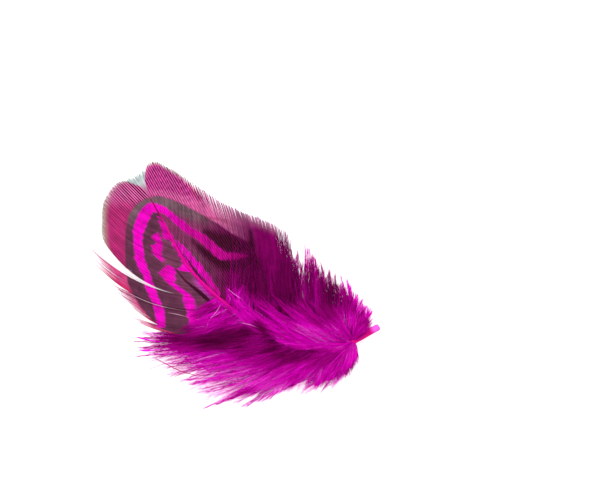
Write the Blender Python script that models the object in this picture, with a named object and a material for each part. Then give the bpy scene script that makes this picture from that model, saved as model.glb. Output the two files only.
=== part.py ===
"""A dyed pheasant body feather, lying on a surface with its outer side up.

The shaft runs from the bare quill end at +X to the tip at the upper left, seen from above. Barbs branch from it on
both sides: firm ones that hold together as two vanes, and soft ones near the quill that hang in downy locks.
Sizes are in millimetres, and one number, MM, turns them into Blender's metres.
"""

import bmesh
import bpy
import numpy as np

MM = 0.001
LEFT, RIGHT = 1, -1

# The shaft's middle line from the quill end to the tip, with its radius: x, y, z, radius
SHAFT = (
    (28.7, -8.1, 2.9, 0.70),
    (26.5, -9.3, 3.0, 0.68),
    (24.5, -10.5, 3.1, 0.62),
    (21.9, -11.7, 3.2, 0.56),
    (17.9, -12.1, 3.4, 0.52),
    (12.3, -11.1, 3.6, 0.48),
    (6.9, -9.1, 3.8, 0.44),
    (1.9, -6.3, 3.8, 0.40),
    (-2.1, -3.3, 3.8, 0.36),
    (-5.1, -0.7, 3.7, 0.33),
    (-7.7, 1.9, 3.5, 0.30),
    (-10.1, 4.9, 3.2, 0.27),
    (-12.1, 8.5, 2.8, 0.24),
    (-13.9, 12.1, 2.3, 0.20),
    (-15.5, 14.9, 1.8, 0.16),
    (-16.9, 17.3, 1.4, 0.12),
)
SHAFT_SIDES = 8
SHAFT_STATIONS = 26

# A fan of barbs is a few guide barbs. Each row has the share of the shaft's length, from the quill end, where the
# barb grows, then the x, y and z of its tip, how far it bows towards the quill and how high it arches, both as
# shares of its length.
LEFT_VANE = (
    (0.990, -17.9, 19.9, 0.9, 0.00, 0.02),
    (0.982, -20.1, 20.3, 0.7, 0.03, 0.04),
    (0.965, -21.9, 20.9, 0.4, 0.06, 0.05),
    (0.940, -23.5, 20.7, 0.2, 0.08, 0.06),
    (0.905, -24.9, 19.5, 0.05, 0.10, 0.07),
    (0.860, -25.9, 17.9, 0.03, 0.12, 0.08),
    (0.800, -26.7, 16.1, 0.03, 0.14, 0.08),
    (0.720, -26.9, 13.1, 0.1, 0.17, 0.08),
    (0.645, -26.9, 10.7, 0.3, 0.23, 0.08),
    (0.600, -26.5, 9.1, 0.5, 0.28, 0.08),
)
# Three bundles of barbs have come apart from the left vane and curve away from it, the first one wide
LEFT_BUNDLES = (
    (
        (0.590, -29.1, 7.8, 0.5, 0.215, 0.06),
        (0.570, -28.2, 5.8, 0.4, 0.22, 0.06),
        (0.553, -27.7, 4.1, 0.3, 0.27, 0.06),
    ),
    (
        (0.547, -24.7, 0.3, 0.4, 0.16, 0.06),
        (0.535, -22.5, -2.4, 0.3, 0.30, 0.06),
        (0.522, -20.0, -4.7, 0.3, 0.40, 0.06),
    ),
    (
        (0.508, -21.0, -5.9, 0.4, 0.25, 0.06),
        (0.495, -20.2, -6.6, 0.3, 0.26, 0.06),
        (0.480, -19.5, -7.3, 0.3, 0.25, 0.06),
    ),
)
RIGHT_VANE = (
    (0.995, -17.9, 19.7, 0.9, 0.00, 0.02),
    (0.985, -18.1, 21.7, 0.8, 0.00, 0.03),
    (0.970, -17.7, 23.5, 0.6, 0.02, 0.04),
    (0.945, -17.1, 24.2, 0.3, 0.05, 0.05),
    (0.910, -15.7, 24.6, 0.05, 0.07, 0.06),
    (0.860, -14.1, 24.5, 0.03, 0.09, 0.07),
    (0.800, -12.1, 23.5, 0.03, 0.11, 0.08),
    (0.735, -10.1, 22.3, 0.05, 0.12, 0.08),
    (0.667, -8.3, 21.3, 0.2, 0.13, 0.08),
    (0.600, -5.9, 19.1, 0.5, 0.13, 0.08),
    (0.540, -2.9, 16.9, 0.8, 0.12, 0.08),
    (0.450, 1.7, 14.9, 0.9, 0.11, 0.08),
)
VANE_THICK_AT_SHAFT = 0.36
VANE_THICK_AT_TIPS = 0.20
VANE_STEPS = 7
# The two vanes start past the shaft's middle, as a share of the barbs' length, so that they overlap inside it
VANE_START = -0.03

# Downy fans: one on each side of the shaft, and one along the top of it
LEFT_DOWN = (
    (0.500, -19.3, -9.1, 0.35, 0.20, -0.02),
    (0.440, -19.5, -10.9, 0.25, 0.18, -0.03),
    (0.390, -19.3, -12.9, 0.20, 0.14, -0.04),
    (0.330, -18.3, -15.7, 0.20, 0.10, -0.04),
    (0.280, -13.5, -17.9, 0.20, 0.10, -0.04),
    (0.240, -10.1, -20.9, 0.20, 0.10, -0.04),
    (0.200, -6.5, -24.5, 0.20, 0.08, -0.04),
    (0.170, -2.7, -23.1, 0.20, 0.06, -0.04),
    (0.150, 3.1, -23.5, 0.20, 0.04, -0.05),
    (0.130, 10.1, -20.9, 0.20, 0.00, -0.06),
    (0.115, 15.1, -21.5, 0.20, 0.00, -0.06),
    (0.100, 19.9, -20.3, 0.20, 0.00, -0.06),
    (0.085, 23.3, -15.5, 0.20, 0.00, -0.06),
)
RIGHT_DOWN = (
    (0.480, 1.3, 14.9, 0.70, 0.10, 0.04),
    (0.420, 4.9, 13.4, 0.40, 0.10, -0.01),
    (0.350, 9.3, 11.3, 0.20, 0.10, -0.05),
    (0.280, 12.3, 8.5, 0.15, 0.08, -0.06),
    (0.220, 15.5, 6.4, 0.15, 0.06, -0.06),
    (0.170, 19.1, 3.2, 0.15, 0.04, -0.06),
    (0.135, 22.3, 0.7, 0.15, 0.02, -0.06),
    (0.110, 24.9, -2.7, 0.15, 0.00, -0.06),
    (0.085, 27.1, -7.1, 0.30, 0.00, -0.02),
)
RIDGE_DOWN = (
    (0.330, -3.3, -3.7, 4.4, 0.14, 0.07),
    (0.270, -2.9, -1.9, 4.7, 0.15, 0.08),
    (0.220, -1.3, -0.5, 4.8, 0.15, 0.09),
    (0.180, 1.9, 0.1, 4.8, 0.13, 0.10),
    (0.150, 5.5, -0.1, 4.9, 0.10, 0.12),
    (0.125, 9.7, -1.1, 5.0, 0.06, 0.14),
    (0.105, 14.1, -2.1, 5.0, 0.03, 0.16),
    (0.090, 18.3, -2.9, 5.0, 0.00, 0.18),
)
# How each layer of locks is laid: the fan, its side, how many locks, how much of the barbs' reach they keep, how far
# they are lifted, and the half width and half height of a lock's fullest part. Upper layers are shorter and higher.
LOCK_LAYERS = (
    (LEFT_DOWN, LEFT, 17, 1.00, 0.0, 1.35, 0.80),
    (LEFT_DOWN, LEFT, 12, 0.82, 3.2, 1.40, 0.90),
    (RIGHT_DOWN, RIGHT, 13, 1.00, 0.0, 1.50, 0.80),
    (RIGHT_DOWN, RIGHT, 9, 0.80, 3.2, 1.40, 0.90),
    (RIDGE_DOWN, LEFT, 10, 1.00, 0.8, 1.20, 0.80),
)
LOCK_SIDES = 5
LOCK_STEPS = 7
LOCK_START = 0.02
LOCK_TIP_HALF = 0.09
# A lifted lock is at its full height after this share of its length, and comes down again by the other share
LIFT_BY = 0.625
LIFT_LOST_AT_TIP = 0.4
# Neighbouring locks differ in height by up to this much, and in fullness from the least by up to the range
LOCK_HEIGHT_RANGE = 0.9
LOCK_LEAST_FULLNESS = 0.85
LOCK_FULLNESS_RANGE = 0.30
# Steps by this share of a turn never repeat, so no two runs of locks look alike
GOLDEN_STEP = 0.618

FLOOR_CUTTER = 80.0
LEFT_VANE_ROWS = 15
RIGHT_VANE_ROWS = 17
BUNDLE_ROWS = 4
DYE = (0.42, 0.002, 0.26)
DYE_ROUGHNESS = 0.6


def along(points, shares):
    """A smooth curve through the points, read at shares of the way from the first to the last."""
    points = np.asarray(points, float)
    runs = len(points) - 1
    ends = np.vstack([2 * points[0] - points[1], points, 2 * points[-1] - points[-2]])
    place = np.clip(np.atleast_1d(shares), 0, 1) * runs
    start = np.minimum(place.astype(int), runs - 1)
    f = (place - start)[:, None]
    a, b, c, d = (ends[start + k] for k in range(4))
    return 0.5 * (2 * b + (c - a) * f + (2 * a - 5 * b + 4 * c - d) * f**2 + (3 * b - a - 3 * c + d) * f**3)


def shaft_at(runs):
    """The shaft's x, y, z and radius at shares of its length."""
    fine = along(SHAFT, np.linspace(0, 1, 400))
    length = np.concatenate([[0], np.cumsum(np.linalg.norm(np.diff(fine[:, :2], axis=0), axis=1))])
    return np.stack([np.interp(runs, length / length[-1], fine[:, k]) for k in range(4)], axis=-1)


def barb_lines(guides, side, places, reach):
    """The middle lines of a fan's barbs, one at each place between its first and last guide.

    In plan a line is a parabola from the shaft to the tip, bowed towards the quill. Its height goes evenly from the
    shaft's to the tip's, with an arch added. side is LEFT or RIGHT of the shaft.
    """
    run, x, y, z, bow, arch = along(guides, places).T
    root = shaft_at(run)[:, None, :3]
    tip = np.stack([x, y, z], axis=-1)[:, None, :]
    chord = tip - root
    length = np.linalg.norm(chord[..., :2], axis=-1, keepdims=True)
    across = np.concatenate([-chord[..., 1:2], chord[..., :1]], axis=-1) * side
    t = reach[None, :, None]
    hump = t * (1 - t)
    line = root + chord * t
    line[..., :2] += 2 * across * bow[:, None, None] * hump
    line[..., 2:] += 4 * length * arch[:, None, None] * hump
    return line


def closed_grid(top, bottom):
    """The points and faces of a sheet with thickness: two grids of points, and the walls between their edges."""
    rows, columns = top.shape[:2]
    count = rows * columns
    index = np.arange(count).reshape(rows, columns)
    quads = np.stack([index[:-1, :-1], index[:-1, 1:], index[1:, 1:], index[1:, :-1]], axis=-1).reshape(-1, 4)
    rim = np.concatenate([index[0, :-1], index[:-1, -1], index[-1, :0:-1], index[:0:-1, 0]])
    onward = np.roll(rim, -1)
    walls = np.stack([onward, rim, rim + count, onward + count], axis=-1)
    points = np.concatenate([top.reshape(-1, 3), bottom.reshape(-1, 3)])
    return points, [list(q) for q in np.concatenate([quads, quads[:, ::-1] + count, walls])]


def closed_tubes(rings):
    """The points and faces of tubes: rings of points one after another along each, with a flat cap at each end."""
    tubes, stations, sides = rings.shape[:3]
    index = np.arange(tubes * stations * sides).reshape(tubes, stations, sides)
    turned = np.roll(index, -1, axis=2)
    quads = np.stack([index[:, :-1], turned[:, :-1], turned[:, 1:], index[:, 1:]], axis=-1).reshape(-1, 4)
    caps = [list(c) for c in index[:, 0, ::-1]] + [list(c) for c in index[:, -1]]
    return rings.reshape(-1, 3), [list(q) for q in quads] + caps


def rings_round(line, half_width, half_height, sides):
    """Oval rings round lines of points: each ring is upright and square to the line's run in plan."""
    run = np.gradient(line, axis=1)
    run /= np.linalg.norm(run, axis=-1, keepdims=True)
    sideways = np.stack([-run[..., 1], run[..., 0], np.zeros_like(run[..., 0])], axis=-1)
    sideways /= np.linalg.norm(sideways, axis=-1, keepdims=True)
    upward = np.cross(run, sideways)
    turn = np.arange(sides) / sides * 2 * np.pi
    return (
        line[:, :, None, :]
        + sideways[:, :, None, :] * (half_width[..., None] * np.cos(turn))[..., None]
        + upward[:, :, None, :] * (half_height[..., None] * np.sin(turn))[..., None]
    )


def shaft_shape():
    """The quill and rachis: a round rod that thins to the tip."""
    line = shaft_at(np.linspace(0, 1, SHAFT_STATIONS))[None]
    return closed_tubes(rings_round(line[..., :3], line[..., 3], line[..., 3], SHAFT_SIDES))


def vane_shape(guides, side, rows):
    """Barbs that hold together: one thin sheet, from the shaft to the barbs' tips."""
    reach = np.linspace(VANE_START, 1, VANE_STEPS)
    middle = barb_lines(guides, side, np.linspace(0, 1, rows), reach)
    half = np.zeros_like(middle)
    half[..., 2] = (VANE_THICK_AT_SHAFT + (VANE_THICK_AT_TIPS - VANE_THICK_AT_SHAFT) * reach) / 2
    upper, lower = middle + half, middle - half
    return closed_grid(upper, lower) if side > 0 else closed_grid(upper[::-1], lower[::-1])


def lock_shapes(guides, side, count, kept, lift, half_width, half_height):
    """A layer of downy locks: each is an oval body that swells from the shaft and runs out to a point."""
    places = (np.arange(count) + 0.5) / count
    line = barb_lines(guides, side, places, np.linspace(LOCK_START, 1, LOCK_STEPS) * kept)
    far = np.linspace(0, 1, LOCK_STEPS)
    rise = np.sin(np.pi / 2 * np.minimum(far / LIFT_BY, 1)) * (1 - LIFT_LOST_AT_TIP * far)
    change = (np.arange(count) * GOLDEN_STEP) % 1
    line[..., 2] += lift * rise
    if lift > 0:
        line[..., 2] += (change[:, None] - 0.5) * LOCK_HEIGHT_RANGE * far
    # A lock is fullest near a quarter of its length
    body = np.sqrt(far + 0.16) * (1 - far) ** 0.75
    body = np.maximum(body / body.max(), LOCK_TIP_HALF / half_width)
    fullness = (LOCK_LEAST_FULLNESS + LOCK_FULLNESS_RANGE * change)[:, None] * body
    return closed_tubes(rings_round(line, half_width * fullness, half_height * fullness, LOCK_SIDES))


def joined(shapes):
    """One mesh's points and faces from several shapes'."""
    points, faces, count = [], [], 0
    for shape_points, shape_faces in shapes:
        points.append(shape_points)
        faces += [[corner + count for corner in face] for face in shape_faces]
        count += len(shape_points)
    return np.concatenate(points), faces


def new_object(name, points, faces):
    """An object from points in millimetres, with its faces pointing out."""
    mesh = bpy.data.meshes.new(name)
    mesh.from_pydata((points * MM).tolist(), [], faces)
    mesh.validate()
    made = bpy.data.objects.new(name, mesh)
    bpy.context.scene.collection.objects.link(made)
    return made


def floor_cutter():
    """A box whose top is the surface that the feather lies on, to cut off what would dip below it."""
    cutter_mesh = bpy.data.meshes.new("floor_cutter")
    form = bmesh.new()
    bmesh.ops.create_cube(form, size=FLOOR_CUTTER * MM)
    bmesh.ops.translate(form, verts=form.verts, vec=(0, 0, -FLOOR_CUTTER * MM / 2))
    form.to_mesh(cutter_mesh)
    form.free()
    cutter = bpy.data.objects.new("floor_cutter", cutter_mesh)
    cutter.hide_render = True
    cutter.display_type = "WIRE"
    bpy.context.scene.collection.objects.link(cutter)
    return cutter


def keep_outer_shell(mesh):
    """Leaves only the largest joined run of faces, which fills the small pockets shut in between locks."""
    form = bmesh.new()
    form.from_mesh(mesh)
    form.faces.ensure_lookup_table()
    shells, seen = [], set()
    for face in form.faces:
        if face in seen:
            continue
        shell, waiting = [], [face]
        seen.add(face)
        while waiting:
            current = waiting.pop()
            shell.append(current)
            for edge in current.edges:
                beyond = set(edge.link_faces) - seen if len(edge.link_faces) == 2 else ()
                seen.update(beyond)
                waiting.extend(beyond)
        shells.append(shell)
    shells.sort(key=len)
    for shell in shells[:-1]:
        bmesh.ops.delete(form, geom=shell, context="FACES")
    form.to_mesh(mesh)
    form.free()


def principled(name, colour, roughness):
    """A plain dyed finish."""
    material = bpy.data.materials.new(name)
    material.use_nodes = True
    shader = material.node_tree.nodes["Principled BSDF"]
    shader.inputs["Base Color"].default_value = (*colour, 1)
    shader.inputs["Roughness"].default_value = roughness
    shader.inputs["Metallic"].default_value = 0
    material.diffuse_color = (*colour, 1)
    return material


def build():
    for thing in list(bpy.data.objects):
        bpy.data.objects.remove(thing)
    shapes = [shaft_shape()]
    shapes.append(vane_shape(LEFT_VANE, LEFT, LEFT_VANE_ROWS))
    shapes.append(vane_shape(RIGHT_VANE, RIGHT, RIGHT_VANE_ROWS))
    shapes += [vane_shape(bundle, LEFT, BUNDLE_ROWS) for bundle in LEFT_BUNDLES]
    shapes += [lock_shapes(*layer) for layer in LOCK_LAYERS]
    feather = new_object("feather", *joined(shapes))
    cut = feather.modifiers.new("flat underside", "BOOLEAN")
    cut.operation = "DIFFERENCE"
    cut.solver = "EXACT"
    cut.use_self = True
    cut.object = floor_cutter()
    seen = feather.evaluated_get(bpy.context.evaluated_depsgraph_get())
    whole = bpy.data.meshes.new_from_object(seen)
    feather.modifiers.clear()
    feather.data = whole
    keep_outer_shell(whole)
    whole.materials.clear()
    whole.materials.append(principled("feather", DYE, DYE_ROUGHNESS))
    whole.shade_smooth()


build()
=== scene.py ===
# %% [markdown]
# # A dyed pheasant feather, barb by barb
# A body feather is one grown thing. A shaft runs through it, and barbs branch from both sides. Near the tip
# the barbs cling together as two flat vanes with the bird's eye-shaped mark. Near the quill they stay loose
# and carry long soft barbules, which is the down. This one was dyed a strong fuchsia that took brightest on
# its pale bands.
#
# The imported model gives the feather's size and place as one plain solid. The cells below put finer pieces
# in that solid's place, in the same frame: every shape is a function worked out with numpy, as whole
# arrays.

import bpy
import numpy as np
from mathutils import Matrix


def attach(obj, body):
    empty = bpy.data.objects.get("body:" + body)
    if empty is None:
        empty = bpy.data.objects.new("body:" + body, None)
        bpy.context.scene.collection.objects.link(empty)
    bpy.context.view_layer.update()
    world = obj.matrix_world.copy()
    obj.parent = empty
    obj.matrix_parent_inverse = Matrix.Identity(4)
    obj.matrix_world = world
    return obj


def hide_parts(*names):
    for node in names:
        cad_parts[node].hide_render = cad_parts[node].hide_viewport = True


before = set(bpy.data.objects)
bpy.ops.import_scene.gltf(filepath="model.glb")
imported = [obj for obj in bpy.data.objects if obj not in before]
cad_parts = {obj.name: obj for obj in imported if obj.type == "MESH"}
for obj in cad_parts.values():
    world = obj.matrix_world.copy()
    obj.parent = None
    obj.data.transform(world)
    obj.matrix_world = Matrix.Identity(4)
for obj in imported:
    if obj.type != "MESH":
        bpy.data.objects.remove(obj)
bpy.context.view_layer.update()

MM = 0.001
NODE = "feather"

# %% [markdown]
# ## The camera
# The photo looks straight down on the feather. A long lens from half a metre keeps the perspective as flat
# as it is there. The view's middle and width are in the frame's own millimetres, so the render can be laid
# over the photo.

# %% Camera
VIEW_MIDDLE = (14.1, 8.1)
VIEW_WIDTH = 122.4
CAMERA_HEIGHT = 500.0
SENSOR = 36.0


def overhead_camera():
    """A camera that looks straight down: its lens is sensor times distance over the width it has to see."""
    data = bpy.data.cameras.new("overhead")
    data.sensor_width = SENSOR
    data.lens = SENSOR * CAMERA_HEIGHT / VIEW_WIDTH
    camera = bpy.data.objects.new("overhead", data)
    camera.location = (VIEW_MIDDLE[0] * MM, VIEW_MIDDLE[1] * MM, CAMERA_HEIGHT * MM)
    bpy.context.scene.collection.objects.link(camera)
    bpy.context.scene.camera = camera
    return camera


print("lens:", round(overhead_camera().data.lens, 1), "mm")

# %% [markdown]
# ## Guide barbs
# A feather has hundreds of barbs, but their paths change slowly from one to the next. So each fan of barbs
# is drawn with a few guide barbs, and all the others are read between them. The shaft's own rows hold its
# x, y, z and radius in millimetres. A fan's row holds the share of the shaft's length where the barb grows,
# counted from the quill end, the tip's x, y and z in millimetres, how far the barb bows towards the quill,
# and how high it arches, both as shares of its length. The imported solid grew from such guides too.

# %% The shaft and the fans of guide barbs
SHAFT = (
    (28.7, -8.1, 2.9, 0.70),
    (26.5, -9.3, 3.0, 0.68),
    (24.5, -10.5, 3.1, 0.62),
    (21.9, -11.7, 3.2, 0.56),
    (17.9, -12.1, 3.4, 0.52),
    (12.3, -11.1, 3.6, 0.48),
    (6.9, -9.1, 3.8, 0.44),
    (1.9, -6.3, 3.8, 0.40),
    (-2.1, -3.3, 3.8, 0.36),
    (-5.1, -0.7, 3.7, 0.33),
    (-7.7, 1.9, 3.5, 0.30),
    (-10.1, 4.9, 3.2, 0.27),
    (-12.1, 8.5, 2.8, 0.24),
    (-13.9, 12.1, 2.3, 0.20),
    (-15.5, 14.9, 1.8, 0.16),
    (-16.9, 17.3, 1.4, 0.12),
)
LEFT_VANE = (
    (0.990, -17.9, 19.9, 0.9, 0.00, 0.02),
    (0.982, -20.1, 20.3, 0.7, 0.03, 0.04),
    (0.965, -21.9, 20.9, 0.4, 0.06, 0.05),
    (0.940, -23.5, 20.7, 0.2, 0.08, 0.06),
    (0.905, -24.9, 19.5, 0.05, 0.10, 0.07),
    (0.860, -25.9, 17.9, 0.03, 0.12, 0.08),
    (0.800, -26.7, 16.1, 0.03, 0.14, 0.08),
    (0.720, -26.9, 13.1, 0.1, 0.17, 0.08),
    (0.645, -26.9, 10.7, 0.3, 0.23, 0.08),
    (0.600, -26.5, 9.1, 0.5, 0.28, 0.08),
)
LEFT_BUNDLES = (
    (
        (0.594, -29.1, 7.8, 0.5, 0.215, 0.06),
        (0.570, -28.2, 5.8, 0.4, 0.22, 0.06),
        (0.553, -27.7, 4.1, 0.3, 0.27, 0.06),
    ),
    (
        (0.547, -24.7, 0.3, 0.4, 0.16, 0.06),
        (0.535, -22.5, -2.4, 0.3, 0.30, 0.06),
        (0.522, -20.0, -4.7, 0.3, 0.40, 0.06),
    ),
    (
        (0.508, -21.0, -5.9, 0.4, 0.25, 0.06),
        (0.495, -20.2, -6.6, 0.3, 0.26, 0.06),
        (0.480, -19.5, -7.3, 0.3, 0.25, 0.06),
    ),
)
RIGHT_VANE = (
    (0.995, -17.9, 19.7, 0.9, 0.00, 0.02),
    (0.985, -18.1, 21.7, 0.8, 0.00, 0.03),
    (0.970, -17.8, 24.0, 0.6, 0.02, 0.04),
    (0.945, -17.0, 24.7, 0.3, 0.05, 0.05),
    (0.910, -15.6, 24.8, 0.05, 0.07, 0.06),
    (0.860, -14.2, 24.1, 0.03, 0.09, 0.07),
    (0.800, -12.3, 23.1, 0.03, 0.11, 0.08),
    (0.735, -10.4, 21.9, 0.05, 0.12, 0.08),
    (0.667, -8.6, 20.6, 0.2, 0.13, 0.08),
    (0.600, -5.9, 18.9, 0.5, 0.13, 0.08),
    (0.540, -2.9, 16.9, 0.8, 0.12, 0.08),
    (0.450, 1.7, 14.8, 0.9, 0.11, 0.08),
    (0.415, 4.7, 13.6, 0.9, 0.11, 0.09),
    (0.380, 7.7, 12.4, 0.9, 0.11, 0.09),
    (0.345, 10.4, 10.8, 0.9, 0.11, 0.09),
)
LEFT_DOWN = (
    (0.500, -19.3, -9.1, 0.35, 0.16, -0.02),
    (0.440, -19.5, -10.9, 0.25, 0.06, -0.03),
    (0.390, -19.3, -12.9, 0.20, 0.03, -0.04),
    (0.330, -18.3, -15.7, 0.20, 0.02, -0.04),
    (0.280, -13.5, -17.9, 0.20, 0.03, -0.04),
    (0.240, -10.1, -20.9, 0.20, 0.05, -0.04),
    (0.200, -6.5, -24.5, 0.20, 0.06, -0.04),
    (0.170, -2.7, -23.1, 0.20, 0.05, -0.04),
    (0.150, 3.1, -23.5, 0.20, 0.04, -0.05),
    (0.130, 10.1, -20.9, 0.20, 0.00, -0.06),
    (0.115, 15.1, -21.5, 0.20, 0.00, -0.06),
    (0.100, 19.9, -20.3, 0.20, 0.00, -0.06),
    (0.095, 23.3, -15.5, 0.20, 0.00, -0.06),
)
RIGHT_DOWN = (
    (0.480, 1.3, 14.9, 0.70, 0.10, 0.04),
    (0.420, 4.9, 13.4, 0.40, 0.10, -0.01),
    (0.350, 9.3, 11.3, 0.20, 0.10, -0.05),
    (0.280, 12.3, 8.5, 0.15, 0.08, -0.06),
    (0.220, 15.5, 6.4, 0.15, 0.06, -0.06),
    (0.170, 19.1, 3.2, 0.15, 0.04, -0.06),
    (0.135, 22.3, 0.7, 0.15, 0.02, -0.06),
    (0.110, 24.9, -2.7, 0.15, 0.00, -0.06),
    (0.100, 27.1, -7.1, 0.30, 0.00, -0.02),
)
RIDGE_DOWN = (
    (0.330, -3.3, -3.7, 4.4, 0.14, 0.07),
    (0.270, -2.9, -1.9, 4.7, 0.15, 0.08),
    (0.220, -1.3, -0.5, 4.8, 0.15, 0.09),
    (0.180, 1.9, 0.1, 4.8, 0.13, 0.10),
    (0.150, 5.5, -0.1, 4.9, 0.10, 0.12),
    (0.125, 9.7, -1.1, 5.0, 0.06, 0.14),
    (0.105, 14.1, -2.1, 5.0, 0.03, 0.16),
    (0.098, 18.3, -2.9, 5.0, 0.00, 0.18),
)
LEFT, RIGHT = 1, -1
print("guide barbs:", len(LEFT_VANE + RIGHT_VANE + LEFT_DOWN + RIGHT_DOWN + RIDGE_DOWN), "and three bundles")

# %% [markdown]
# ## Smooth lines between the guides
# Guides are only a few points, and a barb has to be smooth. A Catmull-Rom curve goes through every point
# that it is given, so the rows above can be measured on the feather and used as they are.

# %% Curves and barb lines
SHAFT_SAMPLES = 400


def along(points, shares):
    """A smooth curve through the points, read at shares of the way from the first to the last
    (Catmull-Rom)."""
    points = np.asarray(points, float)
    runs = len(points) - 1
    ends = np.vstack([2 * points[0] - points[1], points, 2 * points[-1] - points[-2]])
    place = np.clip(np.atleast_1d(shares), 0, 1) * runs
    start = np.minimum(place.astype(int), runs - 1)
    f = (place - start)[:, None]
    a, b, c, d = (ends[start + k] for k in range(4))
    return 0.5 * (2 * b + (c - a) * f + (2 * a - 5 * b + 4 * c - d) * f**2 + (3 * b - a - 3 * c + d) * f**3)


def length_along(line):
    """How far along each line its points lie: the running sum of the steps between them."""
    steps = np.linalg.norm(np.diff(line, axis=-2), axis=-1)
    return np.concatenate([np.zeros_like(steps[..., :1]), np.cumsum(steps, axis=-1)], axis=-1)


def shaft_at(runs):
    """The shaft's x, y, z and radius at shares of its length, measured along it in plan."""
    fine = along(SHAFT, np.linspace(0, 1, SHAFT_SAMPLES))
    length = length_along(fine[:, :2])
    return np.stack([np.interp(runs, length / length[-1], fine[:, k]) for k in range(4)], axis=-1)


def barb_lines(guides, side, places, reach):
    """The middle lines of barbs, one for each place between a fan's first and last guide.

    In plan a barb is a parabola: the straight line to the tip, plus a bow of t(1 - t) towards the quill.
    Its height goes evenly from the shaft's to the tip's, plus an arch of t(1 - t). reach holds t, for all
    barbs or one row each.
    """
    run, x, y, z, bow, arch = along(guides, places).T
    root = shaft_at(run)[:, None, :3]
    chord = np.stack([x, y, z], axis=-1)[:, None, :] - root
    length = np.linalg.norm(chord[..., :2], axis=-1, keepdims=True)
    across = np.concatenate([-chord[..., 1:2], chord[..., :1]], axis=-1) * side
    t = np.atleast_2d(reach)[..., None]
    line = root + chord * t
    line[..., :2] += 2 * across * bow[:, None, None] * t * (1 - t)
    line[..., 2:] += 4 * length * arch[:, None, None] * t * (1 - t)
    return line


shaft_line = along(SHAFT, np.linspace(0, 1, SHAFT_SAMPLES))[:, :3]
print("shaft:", round(float(length_along(shaft_line)[-1]), 1), "mm")

# %% [markdown]
# ## Strips, the form that every barb shares
# Barbs and barbules are all long thin strips. A strip is a grid of points: stations along it, and a few
# points across it. If the points across go all the way round, it is a closed rod. One function turns
# thousands of strips into one mesh. It also lays each strip into its own cell of a UV map, so that a baked
# picture keeps them apart.

# %% From strips to meshes
CELL_TALLNESS = 4
CELL_MARGIN = 0.12


def unit(vectors):
    """Vectors made one long."""
    return vectors / np.maximum(np.linalg.norm(vectors, axis=-1, keepdims=True), 1e-12)


def cell_map(strips, stations, across):
    """Corners of each strip's cell in a square UV map, for a grid of stations by points across."""
    columns = int(np.ceil(np.sqrt(strips * CELL_TALLNESS)))
    rows = int(np.ceil(strips / columns))
    index = np.arange(strips)[:, None, None]
    u = index % columns + CELL_MARGIN + (1 - 2 * CELL_MARGIN) * np.linspace(0, 1, across)[None, None, :]
    v = index // columns + CELL_MARGIN / 2 + (1 - CELL_MARGIN) * np.linspace(0, 1, stations)[None, :, None]
    return np.stack(np.broadcast_arrays(u / columns, v / rows), axis=-1)


def strip_mesh(name, points, closed, values):
    """A mesh from strips of points in millimetres, with the values of each point as attributes.

    points is strips by stations by points across by 3. A closed strip's last point across joins its first,
    and its two ends are capped. values maps an attribute's name to one number for each point.
    """
    strips, stations, across = points.shape[:3]
    index = np.arange(strips * stations * across).reshape(strips, stations, across)
    uv = cell_map(strips, stations, across + closed)
    if closed:
        index = np.concatenate([index, index[..., :1]], axis=2)
    corners = [(slice(None, -1), slice(None, -1)), (slice(None, -1), slice(1, None)),
               (slice(1, None), slice(1, None)), (slice(1, None), slice(None, -1))]
    quads = np.stack([index[:, a, b] for a, b in corners], axis=-1).reshape(-1, 4)
    quad_uv = np.stack([uv[:, a, b] for a, b in corners], axis=-2).reshape(-1, 2)
    loops, sizes, loop_uv = [quads.reshape(-1)], [np.full(len(quads), 4)], [quad_uv]
    if closed:
        for cap, cap_uv in ((index[:, 0, -2::-1], uv[:, 0, -2::-1]), (index[:, -1, :-1], uv[:, -1, :-1])):
            loops.append(cap.reshape(-1))
            sizes.append(np.full(strips, across))
            loop_uv.append(cap_uv.reshape(-1, 2))
    loops, sizes, loop_uv = np.concatenate(loops), np.concatenate(sizes), np.concatenate(loop_uv)
    mesh = bpy.data.meshes.new(name)
    mesh.vertices.add(strips * stations * across)
    mesh.vertices.foreach_set("co", (points * MM).astype(np.float32).reshape(-1))
    mesh.loops.add(len(loops))
    mesh.loops.foreach_set("vertex_index", loops.astype(np.int32))
    mesh.polygons.add(len(sizes))
    mesh.polygons.foreach_set("loop_start", (np.cumsum(sizes) - sizes).astype(np.int32))
    mesh.polygons.foreach_set("use_smooth", np.ones(len(sizes), bool))
    mesh.update(calc_edges=True)
    for key, numbers in values.items():
        numbers = np.broadcast_to(numbers, points.shape[:3]).astype(np.float32)
        mesh.attributes.new(key, "FLOAT", "POINT").data.foreach_set("value", numbers.reshape(-1))
    layer = mesh.uv_layers.new(name="OFBake")
    layer.data.foreach_set("uv", loop_uv.astype(np.float32).reshape(-1))
    return mesh


def joined_piece(name, meshes, material):
    """One piece from several meshes of strips, riding on the feather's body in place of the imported
    solid."""
    piece = bpy.data.objects.new(name, meshes[0])
    bpy.context.scene.collection.objects.link(piece)
    if len(meshes) > 1:
        others = [bpy.data.objects.new(f"{name}_{k}", mesh) for k, mesh in enumerate(meshes[1:])]
        for other in others:
            bpy.context.scene.collection.objects.link(other)
        with bpy.context.temp_override(active_object=piece, selected_editable_objects=[piece, *others]):
            bpy.ops.object.join()
    piece.data.materials.clear()
    piece.data.materials.append(material)
    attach(piece, "root")
    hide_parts(NODE)
    triangles = sum(len(face.vertices) - 2 for face in piece.data.polygons)
    print(f"{name}: {triangles} triangles")
    return piece


# %% [markdown]
# ## Cross-sections along a barb
# A barb's own rod, the ramus, stands up as a fine ridge. On the vane its hooked barbules spread flat on
# both sides and close the gap to the next barb. So a vane barb is a strip with a ridge in its middle, and
# the lines that run over the vane are real relief. The web also slopes sideways as the vane does there, so
# that no light shows between neighbours when the vane is seen from low down.

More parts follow.
